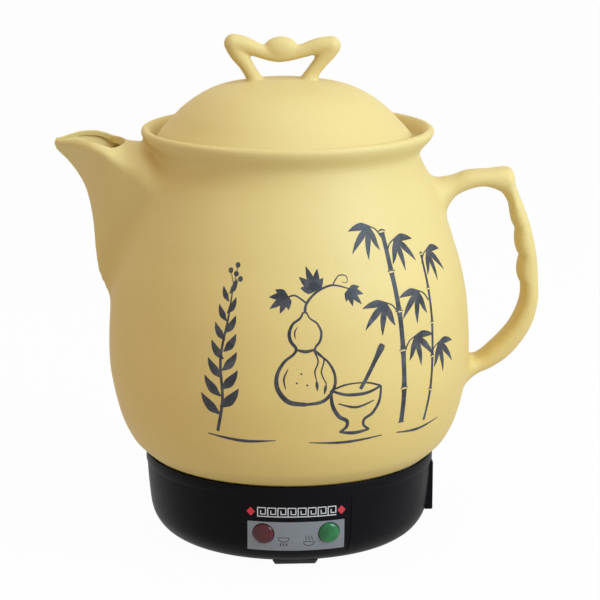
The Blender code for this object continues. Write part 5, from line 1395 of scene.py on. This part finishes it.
def fret():
    """A band of square spirals on a line, a common traditional border."""
    half = 0.26
    turns = [(0, 0), (0, 5.0), (4.2, 5.0), (4.2, 1.4), (1.6, 1.4), (1.6, 3.3)]
    rows = []
    for k in range(FRET_UNITS):
        start = -20.7 + FRET_PITCH * k
        for (a, b), (c, d) in zip(turns, turns[1:]):
            length = math.hypot(c - a, d - b)
            more = Vector((c - a, d - b)) * (half / length)
            rows.append(bar(start + a - more.x, FRET_LINE + b - more.y, start + c + more.x,
                            FRET_LINE + d + more.y, half))
        across = start + (FRET_PITCH if k < FRET_UNITS - 1 else turns[2][0])
        rows.append(bar(start - half, FRET_LINE, across + half, FRET_LINE, half))
    return rows


def lozenges():
    """A lozenge at either end of the band."""
    outline = ((-2.2, 0.06), (-1.1, 1.3), (0, 2.4), (1.1, 1.3), (2.2, 0.06))
    return [[(side * LOZENGE_REACH + step, LOZENGE_HEIGHT, half) for step, half in outline]
            for side in (-1, 1)]


def lamp_signs():
    """A bowl over flames beside the cook lamp, a steaming bowl beside the keep-warm lamp."""
    side = ((-2.8, 0.8, 0.25), (-2.4, -0.7, 0.3), (0, -1.6, 0.34), (2.4, -0.7, 0.3),
            (2.8, 0.8, 0.25))
    steam = ((0, 15.0, 0.2), (0.4, 15.8, 0.25), (-0.4, 16.8, 0.25), (0, 17.6, 0.2))
    rows = []
    for across, bowl in ((-SIGN_REACH, 15.6), (SIGN_REACH, 13.2)):
        rows.append([(across + step, bowl + rise, half) for step, rise, half in side])
        rows.append(bar(across - 3.1, bowl + 0.9, across + 3.1, bowl + 0.9, 0.25))
    for place in (-1.6, 0.0, 1.6):
        rows.append(leaf(place - SIGN_REACH, 11.4, 90, 2.1, 0.6))
        rows.append([(SIGN_REACH + place + step, z, half) for step, z, half in steam])
    return rows


# Operators


class MakePot(bpy.types.Operator):
    """Model the ceramic pot with its spout and handle."""

    bl_idname = "herb_pot.pot"
    bl_label = "Ceramic pot"

    def execute(self, context):
        dress(make_ceramic_pot(), "pot_on_base", "ceramic", "ceramic_pot")
        return {"FINISHED"}


class MakeLid(bpy.types.Operator):
    """Model the lid with its bow knob."""

    bl_idname = "herb_pot.lid"
    bl_label = "Lid"

    def execute(self, context):
        dress(make_lid(), "lid", "ceramic", "ceramic_lid")
        return {"FINISHED"}


class MakeBase(bpy.types.Operator):
    """Model the black base, its plate, the two lenses and the feet."""

    bl_idname = "herb_pot.base"
    bl_label = "Base"

    def execute(self, context):
        body = "pot_on_base"
        dress(make_housing(), body, "black_plastic", "base_housing", finish=housing_plastic())
        dress(make_plate(), body, "grey_plastic", "indicator_plate")
        dress(make_lens("red_lens", -1), body, "red_lens", "lens_cook")
        dress(make_lens("green_lens", 1), body, "green_lens", "lens_warm")
        for side in ("front", "right", "back", "left"):
            dress(make_foot("pad_" + side, "foot_" + side), body, "rubber", "foot_" + side)
        return {"FINISHED"}


class MakeDrawing(bpy.types.Operator):
    """Draw bamboo, a gourd, a herb sprig and a mortar in ink on the pot's front."""

    bl_idname = "herb_pot.drawing"
    bl_label = "Ink drawing"

    def execute(self, context):
        ink = fired_ink()
        lift = settings().drawing.lift
        drawings = {
            "ink_bamboo": bamboo(), "ink_gourd": gourd(), "ink_sprig": sprig(),
            "ink_mortar": mortar(),
        }
        for name, rows in drawings.items():
            dress(stroked(name, rows, body_point, lift), "pot_on_base", "ceramic", finish=ink)
        return {"FINISHED"}


class MakePrint(bpy.types.Operator):
    """Print the fret band on the base and the two small signs on its plate."""

    bl_idname = "herb_pot.print"
    bl_label = "Base print"

    def execute(self, context):
        look = settings().drawing
        prints = (
            ("fret_band", fret(), 0.00006, look.white, "black_plastic"),
            ("fret_lozenges", lozenges(), 0.00006, look.red, "black_plastic"),
            ("lamp_signs", lamp_signs(), 0.00036, look.grey, "grey_plastic"),
        )
        for name, rows, lift, tint, slot in prints:
            dress(stroked(name, rows, side_point, lift), "pot_on_base", slot,
                  finish=print_ink(name + "_ink", tint))
        return {"FINISHED"}


class FinishInside(bpy.types.Operator):
    """Give the CAD pieces the finishes of their slots."""

    bl_idname = "herb_pot.inside"
    bl_label = "Inner pieces"

    def execute(self, context):
        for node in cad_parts.values():
            for holder in node.material_slots:
                holder.material = finish_of(holder.name)
        return {"FINISHED"}


def area_light(name, place, size, power):
    """A soft square lamp aimed at the pot's middle."""
    data = bpy.data.lights.new(name, "AREA")
    data.size = size
    data.energy = power
    data.color = settings().stage.cool
    lamp = bpy.data.objects.new(name, data)
    bpy.context.scene.collection.objects.link(lamp)
    lamp.location = place
    aim = Vector(POT_MIDDLE) - Vector(place)
    lamp.rotation_euler = aim.to_track_quat("-Z", "Y").to_euler()


def make_floor():
    """The paper that the pot stands on."""
    pick()
    bpy.ops.mesh.primitive_plane_add(size=12.0, location=(0, 0, 0))
    floor = named("studio_floor")
    for vertex in floor.data.vertices:
        vertex.co.z = CAD_BOX[0][2] - 0.0002
    floor.data.materials.append(studio_paper())


def make_air(look):
    """Even warm light from all round, which the camera and reflections see as white."""
    world = bpy.data.worlds.new("studio_air")
    air = Finish("studio_air", world)
    seen = straight_sight(air)
    strength = seen * (1.0 - look.air) + look.air
    tone = air.blend(seen, look.warm, (1.0, 1.0, 1.0))
    shader = air.node("ShaderNodeBackground", {}, {"Color": tone, "Strength": strength})
    air.node("ShaderNodeOutputWorld", {}, {"Surface": shader})
    return world


def make_camera(look):
    """The camera at the photograph's angle."""
    way = Vector((
        math.sin(look.azimuth) * math.cos(look.elevation),
        -math.cos(look.azimuth) * math.cos(look.elevation),
        math.sin(look.elevation),
    ))
    camera = bpy.data.objects.new("photo_camera", bpy.data.cameras.new("photo_camera"))
    bpy.context.scene.collection.objects.link(camera)
    camera.location = Vector(CAMERA_TARGET) + way * look.distance
    camera.rotation_euler = (-way).to_track_quat("-Z", "Y").to_euler()
    camera.data.lens = look.focal
    camera.data.sensor_width = 36.0
    camera.data.clip_end = 30.0
    return camera


class MakeStage(bpy.types.Operator):
    """Set up the floor, the lights and the camera."""

    bl_idname = "herb_pot.stage"
    bl_label = "Studio"

    def execute(self, context):
        look = settings().stage
        make_floor()
        area_light("key_light", KEY_PLACE, 0.8, look.key)
        area_light("top_light", TOP_PLACE, 1.0, look.top)
        context.scene.world = make_air(look)
        context.scene.camera = make_camera(look)
        context.scene.view_settings.view_transform = "Standard"
        return {"FINISHED"}


class PotPanel(bpy.types.Panel):
    """The pot's pieces in the sidebar."""

    bl_idname = "VIEW3D_PT_herb_pot"
    bl_label = "Herbal medicine pot"
    bl_space_type = "VIEW_3D"
    bl_region_type = "UI"
    bl_category = "Pot"

    def draw(self, context):
        for operator in OPERATORS:
            self.layout.operator(operator.bl_idname)
        for part in ("ceramic", "lid", "base", "drawing", "stage"):
            group = getattr(settings(), part)
            box = self.layout.box()
            for name in group.__annotations__:
                box.prop(group, name)


GROUPS = [
    CeramicSettings, LidSettings, BaseSettings, DrawingSettings, StageSettings, HerbPotSettings,
]
OPERATORS = [MakePot, MakeLid, MakeBase, MakeDrawing, MakePrint, FinishInside, MakeStage]


def register():
    """Register the settings, the operators and the panel."""
    for item in (*GROUPS, *OPERATORS, PotPanel):
        bpy.utils.register_class(item)
    bpy.types.Scene.herb_pot = PointerProperty(type=HerbPotSettings)


def unregister():
    """Remove what register added."""
    del bpy.types.Scene.herb_pot
    for item in reversed((*GROUPS, *OPERATORS, PotPanel)):
        bpy.utils.unregister_class(item)


def main():
    """Register the add-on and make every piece."""
    register()
    bpy.ops.herb_pot.pot()
    bpy.ops.herb_pot.lid()
    bpy.ops.herb_pot.base()
    bpy.ops.herb_pot.drawing()
    bpy.ops.herb_pot.print()
    bpy.ops.herb_pot.inside()
    bpy.ops.herb_pot.stage()


if __name__ == "__main__":
    main()
